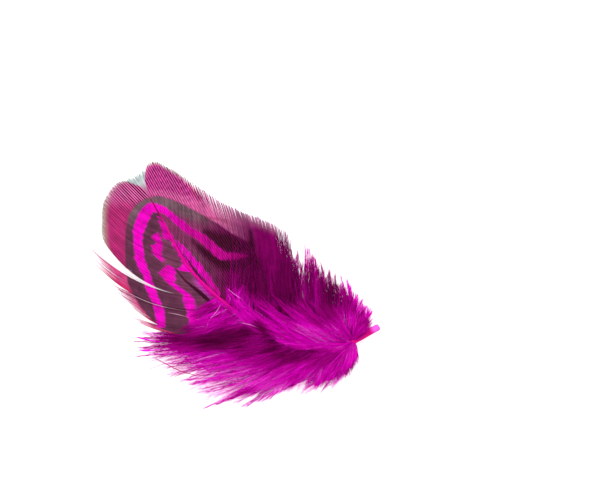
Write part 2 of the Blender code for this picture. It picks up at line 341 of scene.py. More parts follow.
# %% Frames and sections
def frames_along(line):
    """The run, the level sideways direction and the upward direction at every point of each line."""
    run = unit(np.gradient(line, axis=1))
    sideways = unit(np.stack([-run[..., 1], run[..., 0], np.zeros_like(run[..., 0])], axis=-1))
    return run, sideways, np.cross(run, sideways)


def swept(line, section, half_width, tilt=0.0):
    """A section carried along lines. A section point is a share of the half width, and a height in
    millimetres that thins with the width. tilt lifts one edge and lowers the other, by millimetres."""
    _, sideways, upward = frames_along(line)
    share = half_width / np.maximum(half_width.max(), 1e-9)
    out = (section[:, 0] * half_width[..., None])[..., None]
    high = (section[:, 1] * share[..., None] + tilt * section[:, 0])[..., None]
    return line[:, :, None, :] + sideways[:, :, None, :] * out + upward[:, :, None, :] * high


def circle(count):
    """Points all the way round a circle: the cosine and sine of equal turns."""
    turns = np.linspace(0, 2 * np.pi, count, endpoint=False)
    return np.stack([np.cos(turns), np.sin(turns)], axis=-1)


ROUND = circle(16)
BARB_SECTION = np.array([
    (1.0, -0.02), (0.92, 0.0), (0.22, 0.02), (0.0, 0.07),
    (-0.22, 0.02), (-0.92, 0.0), (-1.0, -0.02), (0.0, -0.06)])
FLOOR_CLEAR = 0.02
print("points in a barb's section:", len(BARB_SECTION))

# %% [markdown]
# ## Measuring the eye mark
# The mark on the vane is dye and pigment, not relief, so it belongs in the material. The material has to
# know where each point lies in the mark. The magenta bands are rows with two edges each, and the other
# marks are curves with a half width. A few curves are painted shade, not dye: the shadow beside a fold, the
# shade in a gap and the shaft's shadow. Every point of the vane keeps its distance to them, below 0 inside,
# and the shader draws the edge at 0.

# %% Curves of the eye mark and of painted shade, in millimetres
RING_LEFT = (
    (-8.3, -15.50, -13.90), (-7.3, -15.70, -13.84), (-6.1, -15.90, -13.90), (-4.9, -16.10, -14.10),
    (-3.9, -16.34, -14.44), (-2.9, -16.66, -14.90), (-2.1, -16.96, -15.26), (-1.3, -17.30, -15.54),
    (-0.5, -17.74, -15.80), (0.3, -18.06, -16.14), (1.1, -17.90, -16.42), (2.1, -18.30, -16.78),
    (3.1, -18.90, -17.16), (4.1, -19.40, -17.50), (5.1, -19.80, -17.80), (6.1, -19.98, -18.04),
    (7.1, -20.10, -18.20), (9.1, -20.20, -18.40), (10.1, -20.26, -18.30), (11.3, -20.24, -17.94),
    (12.1, -20.10, -17.50), (12.9, -19.82, -17.24), (13.7, -19.50, -16.84), (14.5, -19.14, -16.50),
    (14.8, -18.96, -16.00), (15.3, -18.64, -14.90), (15.9, -18.00, -15.10), (16.5, -17.20, -16.10))
RING_RIGHT = (
    (-16.7, 14.70, 16.50), (-15.9, 14.50, 16.44), (-15.1, 14.60, 16.10), (-14.1, 14.20, 15.80),
    (-13.1, 13.40, 15.14), (-12.1, 12.44, 14.30), (-11.1, 11.54, 13.44), (-10.1, 10.84, 12.74),
    (-9.1, 10.06, 11.98), (-8.1, 9.46, 11.34), (-7.1, 8.84, 10.80), (-6.1, 7.90, 10.20), (-5.1, 6.90, 9.40),
    (-4.1, 6.00, 8.50), (-3.1, 5.30, 7.50), (-2.1, 5.10, 6.90), (-1.1, 5.20, 6.60), (-0.1, 5.30, 6.50),
    (0.9, 5.40, 6.40), (1.9, 5.60, 6.30), (2.5, 5.90, 6.10))
ZIGZAG_UPPER = (
    (4.5, -14.20, -14.10), (4.7, -14.70, -14.00), (5.1, -15.10, -14.04), (5.7, -15.60, -14.50),
    (6.3, -16.02, -14.70), (6.9, -16.38, -14.50), (7.5, -16.60, -14.30), (8.0, -16.64, -14.24),
    (8.4, -15.90, -14.40), (8.7, -15.70, -14.54), (9.1, -16.10, -14.60), (9.7, -16.60, -14.80),
    (10.3, -16.20, -15.00), (10.7, -15.60, -15.50))
ZIGZAG_LOWER = (
    (-8.3, -8.70, -7.10), (-6.9, -9.10, -7.20), (-5.7, -9.50, -7.40), (-4.5, -9.80, -7.60),
    (-3.5, -10.10, -7.90), (-2.5, -10.26, -8.20), (-1.9, -10.30, -8.60), (-1.3, -10.80, -9.40),
    (-0.7, -11.80, -10.24), (-0.2, -12.34, -10.80), (0.3, -13.20, -11.54), (0.9, -13.80, -11.90),
    (1.5, -14.26, -12.06), (2.1, -14.70, -11.80), (2.7, -14.98, -11.70), (3.2, -14.90, -12.00),
    (3.6, -13.90, -12.20), (4.0, -13.70, -12.70), (4.3, -13.50, -13.30))
STREAK = (
    (-2.9, -3.90, -2.30), (-1.9, -5.00, -3.20), (-0.9, -6.00, -4.30), (0.1, -6.80, -5.30),
    (1.1, -7.50, -6.10), (1.9, -8.20, -6.90), (2.7, -8.80, -7.60), (3.0, -11.20, -7.90),
    (3.5, -11.50, -8.20), (3.8, -10.70, -8.40),
    (4.3, -10.24, -8.70), (5.1, -10.60, -9.24), (5.9, -11.06, -9.80), (6.7, -11.58, -10.30),
    (7.5, -12.10, -10.74), (8.3, -12.54, -11.38), (9.1, -12.94, -11.94), (9.4, -14.50, -12.20),
    (9.9, -14.58, -12.54), (10.7, -14.64, -13.06), (11.5, -14.78, -13.60), (12.3, -14.94, -14.20),
    (13.1, -15.14, -14.78), (13.7, -15.38, -15.22))
STREAK_RIGHT = (
    (-1.9, -3.20, -2.70), (-0.9, -4.10, -3.30), (0.1, -5.00, -3.90), (1.1, -5.80, -4.50), (1.9, -6.50, -5.00),
    (2.7, -7.20, -5.60), (3.5, -7.90, -6.20), (4.3, -8.50, -6.74), (5.1, -9.10, -7.50), (5.9, -9.64, -8.40),
    (6.7, -10.14, -9.04), (7.5, -10.60, -9.70), (8.3, -11.20, -10.60), (9.1, -11.80, -11.50))
SLIT = (
    (-11.9, 3.4, 0.1), (-11.1, 2.5, 0.13), (-10.1, 1.3, 0.18), (-9.1, 0.4, 0.22), (-8.1, -0.4, 0.3),
    (-7.1, -1.2, 0.38), (-6.1, -2.1, 0.38), (-5.1, -3.0, 0.3), (-4.5, -3.5, 0.15))
SHAFT_SHADE = (
    (-11.5, 7.9, 0.03), (-10.5, 6.4, 0.1), (-9.7, 5.5, 0.13), (-9.1, 4.7, 0.16), (-8.1, 3.2, 0.22),
    (-7.1, 2.0, 0.2), (-6.1, 1.0, 0.16), (-5.1, -0.1, 0.08))
SLIT_LIGHT = (
    (-8.1, 1.3, 0.3), (-6.7, -0.5, 0.5), (-4.9, -2.3, 0.6))
PINK_ZONE = (
    (-17.3, 18.5, 0.5), (-14.1, 18.3, 0.55), (-11.1, 17.3, 0.9), (-8.1, 16.1, 1.2), (-5.5, 14.7, 1.5),
    (-3.1, 13.7, 1.5), (0.1, 12.9, 1.2), (3.1, 12.3, 0.9))
LOBE_EDGE = (
    (-17.9, 21.8, 0.2), (-17.7, 23.1, 0.3), (-16.9, 24.3, 0.4), (-15.3, 24.5, 0.3), (-13.5, 23.7, 0.1))
FOLD_LINE = ((-7.3, 14.0, 0.12), (-5.1, 13.5, 0.22), (-2.9, 13.2, 0.3), (-0.7, 12.2, 0.6), (1.5, 10.9, 0.9))
DEEP_CRIMSON = ((-9.3, 20.7, 0.1), (-8.5, 19.2, 0.3), (-7.7, 18.1, 0.4), (-7.1, 17.1, 0.2))
# Painted shadow: the shade that falls beside a fold in the right vane.
FOLD_SHADOW = ((-5.9, 10.7, 0.5), (-3.9, 9.7, 1.1), (-1.9, 8.7, 1.6), (0.1, 8.1, 1.6), (1.5, 7.7, 1.0))
UNDER_RING = (
    (-8.3, 8.9, 0.3), (-7.1, 7.7, 0.7), (-5.5, 6.3, 0.9), (-3.9, 5.1, 1.0), (-1.9, 4.1, 1.0),
    (1.1, 3.9, 1.0))
# Painted shade in a dark gap.
GAP_SHADE = ((3.1, 10.9, 0.3), (3.3, 8.1, 0.7), (3.5, 5.5, 1.0), (4.1, 3.9, 1.0))
EYE = (
    (-15.1, -8.5), (-18.5, -4.7), (-19.9, -2.5), (-21.3, 0.5), (-21.8, 5.1), (-21.9, 7.9), (-21.8, 10.7),
    (-21.3, 13.5), (-20.5, 15.3), (-19.3, 16.5), (-17.5, 17.5), (-15.1, 17.9), (-13.1, 17.3), (-11.1, 16.5),
    (-9.1, 15.5), (-7.1, 14.4), (-5.1, 13.3), (-3.1, 12.1), (-1.1, 10.7), (0.9, 9.5), (3.3, 8.3))
EYE_BASE = ((7.9, -2.9), (-4.1, -11.9))
print("eye outline:", len(EYE), "points")

# %% [markdown]
# ## Distances to the marks
# A curve's distance is the shortest to any of its short straight runs, less its half width there. A band's
# is how far a point lies past its edges. Both are worked out for all points of a vane at once.

# %% Distances
RAGGED = {"ring": 0.13, "inner": 0.22}
ACROSS_X, ACROSS_Y = 1, 0


def distance_to(places, curve, finer=4):
    """Each place's distance to a curve of x, y and half width, less the half width at the nearest point
    of it. The curve is smoothed to finer times as many points."""
    fine = along(curve, np.linspace(0, 1, finer * len(curve)))
    start, step = fine[:-1, :2], np.diff(fine[:, :2], axis=0)
    away = places[:, None, :] - start
    share = np.clip((away * step).sum(-1) / (step**2).sum(-1), 0, 1)
    gap = np.linalg.norm(away - share[..., None] * step, axis=-1)
    if fine.shape[1] > 2:
        gap = gap - (fine[:-1, 2] + share * np.diff(fine[:, 2]))
    return gap.min(axis=1)


def outside_band(places, rows, along_axis):
    """How far each place lies outside a band, below 0 inside it: the most of low - v, v - high and the
    distance past its ends. A row holds a place along the band and its two edges there."""
    rows = np.asarray(rows)
    at, v = places[:, along_axis], places[:, 1 - along_axis]
    low, high = (np.interp(at, rows[:, 0], rows[:, k]) for k in (1, 2))
    return np.max([low - v, v - high, rows[0, 0] - at, at - rows[-1, 0]], axis=0)


def distance_outside(places, curve, base):
    """Each place's distance to the edge of a closed outline, below 0 inside it. Inside is where a level
    line to the right crosses the outline an odd number of times. The base closes the outline, and isn't
    an edge."""
    corners = np.concatenate([along(curve, np.linspace(0, 1, 4 * len(curve))), np.asarray(base)])
    x0, y0 = corners.T
    x1, y1 = np.roll(corners, -1, axis=0).T
    x, y = places[:, :1], places[:, 1:]
    spans = (y0 > y) != (y1 > y)
    crossing = spans & (x < x0 + (y - y0) * (x1 - x0) / np.where(y1 == y0, 1, y1 - y0))
    inside = crossing.sum(axis=1) % 2 == 1
    return np.where(inside, -1, 1) * distance_to(places, curve)


def nearest(places, *curves):
    """The distance to whichever curve is nearest."""
    return np.min([distance_to(places, curve) for curve in curves], axis=0)


def mark_values(points, random):
    """The distances, in millimetres, that the vane's material reads, for strips of points. On a real
    feather each barb carries its own bit of the mark, a little early or late, so each barb's distances
    are shifted together."""
    places = points[..., :2].reshape(-1, 2)
    inner_bands = (ZIGZAG_UPPER, ZIGZAG_LOWER, STREAK, STREAK_RIGHT)
    found = {
        "ring": np.minimum(
            outside_band(places, RING_LEFT, ACROSS_X), outside_band(places, RING_RIGHT, ACROSS_Y)),
        "inner": np.min([outside_band(places, rows, ACROSS_X) for rows in inner_bands], axis=0),
        # dark: painted shade along the fold and in the gap, with a dark band under the ring.
        "dark": nearest(places, FOLD_SHADOW, UNDER_RING, GAP_SHADE),
        # slit: a dark slit, and the shaft's painted shadow beside it.
        "slit": nearest(places, SLIT, SHAFT_SHADE),
        "light": distance_to(places, SLIT_LIGHT),
        "pink": nearest(places, PINK_ZONE, LOBE_EDGE),
        "red": nearest(places, FOLD_LINE, DEEP_CRIMSON),
        "eye": distance_outside(places, EYE, EYE_BASE),
    }
    found = {key: numbers.reshape(points.shape[:-1]) for key, numbers in found.items()}
    for key, most in RAGGED.items():
        found[key] = found[key] + random.uniform(-most, most, len(points))[:, None, None]
    return found


print("ragged marks, in mm:", RAGGED)

# %% [markdown]
# ## Material helpers
# Every finish here is built from nodes. One helper adds a node and fills or links its inputs, and another
# mixes two colours by a mask. Two shared effects are node groups: one draws a mark from a distance, both
# dyed marks and painted shade, with an edge that wanders a little as it does over real barbs, and one varies
# a colour from barb to barb. MARK_EDGES holds how soft each mark's edge is and how far it wanders, in
# millimetres. Its dark mark is painted shade, and so is the shaft's shadow in its slit mark.

# %% Node helpers and shared groups
MARK_EDGES = {
    "pink": (0.6, 0.5), "red": (0.3, 0.3), "light": (0.5, 0.3), "eye": (0.22, 0.35),
    "dark": (0.8, 0.3), "inner": (0.30, 0.9), "ring": (0.24, 0.5), "slit": (0.10, 0.15)}


def add(tree, kind, inputs, **settings):
    """A new node with its settings, its inputs filled with values or linked to sockets."""
    made = tree.nodes.new(kind)
    for key, value in settings.items():
        setattr(made, key, value)
    for key, value in inputs.items():
        if isinstance(value, bpy.types.NodeSocket):
            tree.links.new(value, made.inputs[key])
        else:
            made.inputs[key].default_value = value
    return made


def calculated(tree, operation, *values):
    """The result of a Math node on values or sockets."""
    return add(tree, "ShaderNodeMath", dict(enumerate(values)), operation=operation).outputs[0]


def object_place(tree):
    """A point's place in the feather's own frame, in metres."""
    return add(tree, "ShaderNodeTexCoord", {}).outputs["Object"]


def wandering_noise(tree, scale, detail):
    """A noise between 0 and 1 over the feather's own frame."""
    made = add(tree, "ShaderNodeTexNoise", {"Vector": object_place(tree), "Scale": scale, "Detail": detail})
    return made.outputs["Fac"]


def attribute(tree, name):
    """The value of a point attribute."""
    return add(tree, "ShaderNodeAttribute", {}, attribute_name=name).outputs["Fac"]


def colour_mix(tree, mask, below, above):
    """Two colours mixed by a mask: 0 shows the one below, and 1 the one above."""
    made = add(tree, "ShaderNodeMix", {}, data_type="RGBA")
    for key, value in ((0, mask), (6, below), (7, above)):
        if isinstance(value, bpy.types.NodeSocket):
            tree.links.new(value, made.inputs[key])
        else:
            made.inputs[key].default_value = (*value, 1) if key else value
    return made.outputs[2]


def layered(tree, colour, *layers):
    """A colour with others laid over it in turn, each where its mask is 1."""
    for mask, above in layers:
        colour = colour_mix(tree, mask, colour, above)
    return colour


def ramp_mask(tree, value, low, high, most=1.0):
    """0 below low, most above high, and smooth between them."""
    inputs = {"Value": value, "From Min": low, "From Max": high, "To Max": most}
    return add(tree, "ShaderNodeMapRange", inputs, interpolation_type="SMOOTHSTEP").outputs[0]


def new_group(name, inputs, outputs):
    """An empty node group with named inputs and outputs, and its two end nodes."""
    tree = bpy.data.node_groups.new(name, "ShaderNodeTree")
    for key, kind, value in inputs:
        tree.interface.new_socket(key, in_out="INPUT", socket_type=kind).default_value = value
    for key, kind in outputs:
        tree.interface.new_socket(key, in_out="OUTPUT", socket_type=kind)
    return tree, tree.nodes.new("NodeGroupInput"), tree.nodes.new("NodeGroupOutput")


def dye_and_shade_edge_group():
    """Mask = 1 where distance plus a noise of some wander is below 0, with an edge as soft as asked."""
    tree, start, end = new_group(
        "dye and shade edge",
        (("Distance", "NodeSocketFloat", 0.0), ("Softness", "NodeSocketFloat", 0.15),
         ("Wander", "NodeSocketFloat", 0.2)),
        (("Mask", "NodeSocketFloat"),))
    distance, softness, wander = (start.outputs[key] for key in ("Distance", "Softness", "Wander"))
    centred = calculated(tree, "SUBTRACT", wandering_noise(tree, *EDGE_NOISE), 0.5)
    moved = calculated(tree, "MULTIPLY_ADD", centred, wander, distance)
    inward = calculated(tree, "MULTIPLY", softness, -1.0)
    tree.links.new(ramp_mask(tree, moved, softness, inward), end.inputs["Mask"])
    return tree


def barb_tone_group():
    """Colour times 1 + amount x (tone + 2 x noise - 1.5), with tone the barb's own number and noise that
    mottles the dye, and times 1 + weave x the sine of the phase. Where that sine is high, the colour
    also turns paler."""
    tree, start, end = new_group(
        "barb tone",
        (("Color", "NodeSocketColor", (0.5, 0.5, 0.5, 1)), ("Tone", "NodeSocketFloat", 0.5),
         ("Amount", "NodeSocketFloat", 0.2), ("Phase", "NodeSocketFloat", 0.0),
         ("Weave", "NodeSocketFloat", 0.0)),
        (("Color", "NodeSocketColor"),))
    colour, tone, amount, phase, weave = (
        start.outputs[key] for key in ("Color", "Tone", "Amount", "Phase", "Weave"))
    wide = calculated(tree, "MULTIPLY_ADD", wandering_noise(tree, *MOTTLE_NOISE), 2.0, tone)
    factor = calculated(tree, "MULTIPLY_ADD", calculated(tree, "SUBTRACT", wide, 1.5), amount, 1.0)
    wave = calculated(tree, "SINE", phase)
    whole = calculated(tree, "MULTIPLY", factor, calculated(tree, "MULTIPLY_ADD", wave, weave, 1.0))
    grown = add(tree, "ShaderNodeVectorMath", {0: colour, "Scale": whole}, operation="SCALE").outputs[0]
    pale = calculated(tree, "MULTIPLY", calculated(tree, "MAXIMUM", wave, 0.0), weave)
    tree.links.new(colour_mix(tree, pale, grown, PALE_HATCH), end.inputs["Color"])
    return tree


PALE_HATCH = (0.60, 0.15, 0.38)
EDGE_NOISE, MOTTLE_NOISE = (1900.0, 2.0), (700.0, 5.0)
DYE_AND_SHADE_EDGE = dye_and_shade_edge_group()
BARB_TONE = barb_tone_group()


def dye_and_shade_mask(tree, name):
    """The mask of a mark, from the distance kept in an attribute."""
    softness, wander = MARK_EDGES[name]
    inputs = {"Distance": attribute(tree, name), "Softness": softness, "Wander": wander}
    return add(tree, "ShaderNodeGroup", inputs, node_tree=DYE_AND_SHADE_EDGE).outputs["Mask"]


def toned(tree, colour, amount, weave=0.0):
    """A colour that varies from barb to barb, and in a fine hatch where weave says so."""
    inputs = {"Color": colour, "Tone": attribute(tree, "tone"), "Phase": attribute(tree, "phase"),
              "Amount": amount, "Weave": weave}
    return add(tree, "ShaderNodeGroup", inputs, node_tree=BARB_TONE).outputs["Color"]


def place_along(tree, axis):
    """A point's X, Y or Z in the feather's own frame, in metres."""
    return add(tree, "ShaderNodeSeparateXYZ", {"Vector": object_place(tree)}).outputs[axis]


def finish(name, roughness, specular):
    """A material with a Principled shader, and its tree and shader to build on."""
    material = bpy.data.materials.new(name)
    material.use_nodes = True
    shader = material.node_tree.nodes["Principled BSDF"]
    shader.inputs["Roughness"].default_value = roughness
    shader.inputs["Specular IOR Level"].default_value = specular
    return material, material.node_tree, shader


print("groups:", [group.name for group in (DYE_AND_SHADE_EDGE, BARB_TONE)])

# %% [markdown]
# ## The dyed colours
# The bird's own colours were brown and buff. Fuchsia dye over them gives crimson at the margins, a dull
# taupe where the eye mark was dark, and pure magenta on the bands that were palest. Colours are linear, as
# Blender mixes them.

# %% Colours
MAGENTA = (0.53, 0.0, 0.32)
MAGENTA_DIM = (0.36, 0.0, 0.18)
MAGENTA_LOW = (0.25, 0.0, 0.11)
MAGENTA_WEST = (0.42, 0.0, 0.23)
TAUPE = (0.070, 0.019, 0.039)
TAUPE_LIGHT = (0.098, 0.025, 0.054)
TAUPE_TOP = (0.108, 0.058, 0.074)
PLUM = (0.150, 0.022, 0.074)
# Dark plum is the web's darkest colour, and also the painted shade of the fold, the gap and the shaft.
DARK_PLUM = (0.024, 0.001, 0.008)
PURPLE = (0.085, 0.0, 0.040)
PURPLE_LIGHT = (0.125, 0.0, 0.062)
CRIMSON = (0.250, 0.009, 0.080)
CRIMSON_PINK = (0.25, 0.004, 0.105)
CRIMSON_DEEP = (0.20, 0.0, 0.045)
CRIMSON_PALE = (0.38, 0.035, 0.13)
CRIMSON_EDGE = (0.34, 0.004, 0.050)
PINK = (0.36, 0.050, 0.172)
PALE_WEB = (0.60, 0.36, 0.46)
GREY_VIOLET = (0.19, 0.055, 0.115)
LIGHT_MAUVE = (0.24, 0.03, 0.19)
MARGIN = (0.235, 0.205, 0.145)
MARGIN_VIOLET = (0.34, 0.15, 0.25)
MARGIN_PINK = (0.50, 0.20, 0.30)
PALE_EDGE = (0.52, 0.30, 0.40)
NOTCH_PALE = (0.33, 0.38, 0.38)
SHAFT_PINK = (0.50, 0.0, 0.20)
SHAFT_RED = (0.62, 0.0, 0.20)
# Pale at the cut quill: partly bare horn, partly a painted highlight.
QUILL_PALE_AND_HIGHLIGHT = (0.66, 0.09, 0.56)
# The lowest steps are painted shade; the palest serve pale hairs, painted highlights and painted light
# through thin tips.
DOWN_STEPS = (
    (0.00, (0.035, 0.0, 0.014)),
    (0.30, (0.170, 0.0, 0.082)),
    (0.55, (0.430, 0.0, 0.255)),
    (0.80, (0.820, 0.0, 0.610)),
    (0.90, (0.800, 0.12, 0.680)),
    (1.00, (0.760, 0.36, 0.680)),
)
HAIR_TAUPE = (0.20, 0.06, 0.09)
print("steps of the down's colour:", len(DOWN_STEPS))

# %% [markdown]
# ## Finishes
# A vane's colour changes from place to place: pink towards the tip, and violet and purple towards the down.
# The bands dim that way too. Each of those changes runs between two places, in metres north or east in the
# feather's frame. Others run between two distances from the eye's edge in millimetres, or two shares of a
# barb's length, of its web's width or of a bundle's barbs.

# %% Finishes of vane, down and shaft
NORTH_PINK, NORTH_TAUPE, NORTH_HATCH = (0.0155, 0.0195), (0.0105, 0.0145), (0.0145, 0.0185)
EAST_VIOLET, EAST_PURPLE = (-0.0060, 0.0020), (-0.004, 0.005)
EAST_PALE_WEB, EAST_DARK_WEB = (-0.0100, -0.0040), (-0.0135, -0.0080)
EAST_RIM, EAST_EYE, EAST_PLAIN = (-0.0120, -0.0040), (-0.008, -0.001), (-0.005, 0.002)
EAST_STREAK, WEST_STREAK = (-0.0075, -0.0030), (-0.0120, -0.0138)
EAST_BAND, EAST_BAND_END = (-0.0140, -0.0080), (-0.0040, 0.0010)
EYE_BORDER, EYE_MIDDLE = (-1.2, -3.0), (-5.5, -8.0)
WEB_SHARES, REACH_DEEP, LAST_BARBS = (0.40, 0.80), (0.98, 0.86), (0.72, 0.95, 0.85)
VIOLET_MOST, PLAIN_WEAVE, EYE_WEAVE_PART = 0.9, 0.02, 9
QUILL_CUT, QUILL_RED, SHAFT_TIP = (0.020, 0.036), (0.10, 0.20), (0.90, 0.95)


def multiplied(tree, first, second):
    """The product of two masks."""
    return calculated(tree, "MULTIPLY", first, second)


def vane_material(name, inside, outside, margin, margin_from, top, weaves, tone, pale_web=0.0, dark_web=0.0):
    """Crimson with a pale rim, a pink zone round the eye, taupe in the eye and magenta bands over it, and
    dark plum along a slit and as painted shade along a fold, in a gap and beside the shaft. Towards the down,
    in the east, all of it turns violet and then purple.

    top is how far the outer colour turns pink at the top, weaves the strength of the fine hatch low and
    high on the margin, and tone how much the barbs differ. To the right the web between barbs pales outside
    the eye by pale_web, and darkens inside it by dark_web.
    """
    material, tree, shader = finish(name, roughness=0.75, specular=0.0)
    eye, reach = attribute(tree, "eye"), attribute(tree, "reach")
    north, east = place_along(tree, "Y"), place_along(tree, "X")
    in_eye = dye_and_shade_mask(tree, "eye")
    web = ramp_mask(tree, attribute(tree, "web"), *WEB_SHARES)
    deep = multiplied(tree, ramp_mask(tree, east, *EAST_PURPLE), ramp_mask(tree, reach, *REACH_DEEP))
    outer = layered(
        tree, outside,
        (ramp_mask(tree, north, *NORTH_PINK, top), PINK),
        (dye_and_shade_mask(tree, "pink"), PINK),
        (dye_and_shade_mask(tree, "red"), CRIMSON_DEEP),
        (ramp_mask(tree, east, *EAST_VIOLET, VIOLET_MOST), GREY_VIOLET),
        (multiplied(tree, web, ramp_mask(tree, east, *EAST_PALE_WEB, pale_web)), PALE_WEB),
        (deep, PURPLE_LIGHT),
        (ramp_mask(tree, reach, margin_from, 1.0), layered(
            tree, margin, (ramp_mask(tree, east, *EAST_RIM), MARGIN_VIOLET))),
        (ramp_mask(tree, attribute(tree, "edge"), *LAST_BARBS), CRIMSON_EDGE))
    inner = layered(
        tree, inside,
        (ramp_mask(tree, north, *NORTH_TAUPE), TAUPE_TOP),
        (ramp_mask(tree, eye, *EYE_BORDER), layered(
            tree, inside, (ramp_mask(tree, eye, *EYE_MIDDLE), TAUPE_LIGHT))),
        (ramp_mask(tree, east, *EAST_EYE), PURPLE),
        (dye_and_shade_mask(tree, "light"), LIGHT_MAUVE))
    streaks = layered(
        tree, MAGENTA,
        (ramp_mask(tree, east, *EAST_STREAK), MAGENTA_DIM),
        (ramp_mask(tree, east, *WEST_STREAK), MAGENTA_WEST))
    bands = layered(
        tree, MAGENTA,
        (ramp_mask(tree, east, *EAST_BAND), MAGENTA_DIM),
        (ramp_mask(tree, east, *EAST_BAND_END), MAGENTA_LOW))
    between = multiplied(tree, web, ramp_mask(tree, east, *EAST_DARK_WEB, dark_web))
    colour = layered(
        tree, outer,
        (in_eye, inner),
        # painted shade along the fold and in the gap
        (dye_and_shade_mask(tree, "dark"), DARK_PLUM),
        (dye_and_shade_mask(tree, "inner"), streaks),
        (dye_and_shade_mask(tree, "ring"), bands),
        (multiplied(tree, between, in_eye), DARK_PLUM),
        # a dark slit, with the shaft's painted shadow
        (dye_and_shade_mask(tree, "slit"), DARK_PLUM))
    low, high = weaves
    weave = layered(
        tree, (low,) * 3,
        (ramp_mask(tree, north, *NORTH_HATCH), (high,) * 3),
        (ramp_mask(tree, east, *EAST_PLAIN), (PLAIN_WEAVE,) * 3),
        (in_eye, (tone / EYE_WEAVE_PART,) * 3))
    tree.links.new(toned(tree, colour, tone, weave), shader.inputs["Base Color"])
    return material


def down_material(name):
    """Loose down: the tone of a barbule picks its colour, from a deep purple that is painted shade through
    magenta to pale, which serves pale hairs, painted highlights and painted light through thin tips."""
    material, tree, shader = finish(name, roughness=0.65, specular=0.02)
    ramp = add(tree, "ShaderNodeValToRGB", {"Fac": attribute(tree, "tone")})
    band = ramp.color_ramp
    while len(band.elements) < len(DOWN_STEPS):
        band.elements.new(0.5)
    for element, (place, colour) in zip(band.elements, DOWN_STEPS):
        element.position = place
        element.color = (*colour, 1)
    tree.links.new(ramp.outputs["Color"], shader.inputs["Base Color"])
    return material


def shaft_material():
    """Horn: pale at the cut quill, partly bare horn and partly a painted highlight, red next to it, then pink
    along the rachis and deep crimson near its tip."""
    material, tree, shader = finish("dyed quill", roughness=0.50, specular=0.06)
    run = attribute(tree, "reach")
    colour = layered(
        tree, QUILL_PALE_AND_HIGHLIGHT,
        (ramp_mask(tree, run, *QUILL_CUT), SHAFT_RED),
        (ramp_mask(tree, run, *QUILL_RED), SHAFT_PINK),
        (ramp_mask(tree, run, *SHAFT_TIP), CRIMSON_DEEP))
    tree.links.new(toned(tree, colour, 0.15), shader.inputs["Base Color"])
    return material


LEFT_FINISH = vane_material(
    "left vane", TAUPE, CRIMSON, MARGIN, margin_from=0.87, top=0.15, weaves=(0.16, 1.05), tone=0.50)
BUNDLE_FINISH = vane_material(
    "left bundles", TAUPE, CRIMSON_PALE, MARGIN_PINK, margin_from=0.78, top=0.0, weaves=(0.12, 0.12),
    tone=0.60)
RIGHT_FINISH = vane_material(
    "right vane", PLUM, CRIMSON_PINK, MARGIN, margin_from=0.92, top=0.0, weaves=(0.18, 0.55), tone=0.50,
    pale_web=0.16, dark_web=0.48)
DOWN_FINISH = down_material("dyed down")
QUILL_FINISH = shaft_material()
print("finishes:", [m.name for m in (LEFT_FINISH, BUNDLE_FINISH, RIGHT_FINISH, DOWN_FINISH, QUILL_FINISH)])

# %% [markdown]
# ## The shaft
# The shaft is a round horn rod, bare and pale at the quill end, where the pale is partly a painted highlight,
# and as thin as a hair at the tip. A rod is a circle carried along a curve. Its quill end is rounded, because
# the radius falls there as a quarter circle does.

# %% Shaft
SHAFT_STATIONS = 120
CAP_STATIONS = (0.0, 0.001, 0.003, 0.006)
CAP_LENGTH = 0.008
CAP_FLAT = 0.35


def shaft_piece():
    """A circle of the shaft's own radius carried along its line, with a flat cap at both ends: radius x
    (flat + (1 - flat) x the square root of 1 - (1 - s) squared), with s the way into the rounded end."""
    share = np.linspace(0, 1, SHAFT_STATIONS)
    share = np.concatenate([CAP_STATIONS, share[1:]])
    at = shaft_at(share)
    into = np.clip(share / CAP_LENGTH, 0, 1)
    radius = at[:, 3] * (CAP_FLAT + (1 - CAP_FLAT) * np.sqrt(1 - (1 - into) ** 2))
    line = at[None, :, :3]
    _, sideways, upward = frames_along(line)
    around = ROUND[None, None] * radius[None, :, None, None]
    points = line[:, :, None, :] + sideways[:, :, None, :] * around[..., :1]
    points = points + upward[:, :, None, :] * around[..., 1:]
    values = {"reach": share[None, :, None], "tone": 0.5, "phase": 0.0}
    return joined_piece("shaft", [strip_mesh("shaft", points, True, values)], QUILL_FINISH)


shaft_piece()

# %% [markdown]
# ## The vanes
# A vane barb grows from the shaft, bows and runs out at the margin. Its web of barbules is as wide as the
# gap to its neighbours while the barbs cling together, and narrower where they come apart, so that the
# light surface shows between them. The width is therefore measured from the neighbours: half the distance
# to the next barb. The barbules of all barbs run one way, so they draw a fine slanted hatch: a wave over x
# and y, carried as a phase.
#
# The web overlaps its neighbours by a small share until the barbs part, and is broader over a short run at
# the root. Half the spacing counts only between a narrowest and a widest value, in millimetres.

# %% Vane barbs
BARB_STATIONS = 50
ROOT_INSIDE = 0.01
WEAVE_STEP = 0.42
LEFT_OPENING = ((0.0, 0.90, 0.15), (0.5, 0.92, 0.12), (1.0, 0.92, 0.12))
RIGHT_OPENING = (
    (0.0, 0.92, 0.12), (0.39, 0.90, 0.20), (0.59, 0.86, 0.30), (0.64, 0.74, 0.40), (0.70, 0.76, 0.40),
    (0.74, 0.84, 0.20), (0.79, 0.92, 0.05), (0.90, 0.88, 0.15), (1.0, 0.40, 0.75))
BUNDLE_OPENING = ((0.0, 0.80, 0.35), (1.0, 0.80, 0.35))
BUNDLE_COUNTS = (14, 14, 6)
TIP_SHARE = 0.016
LEFT_HATCH, RIGHT_HATCH = (0.71, 0.71), (0.87, 0.50)
HATCH_JITTER = 0.7
SHINGLE = 0.004
PARTED_BY, OVERLAP = 0.97, 0.06
ROOT_SPREAD, ROOT_RUN = 0.3, 0.15
NARROWEST, WIDEST, BLUNT = 0.05, 0.36, 0.02
ASIDE = 0.10
LEAST_RUN, LEAST_SPACING = 0.01, 0.003


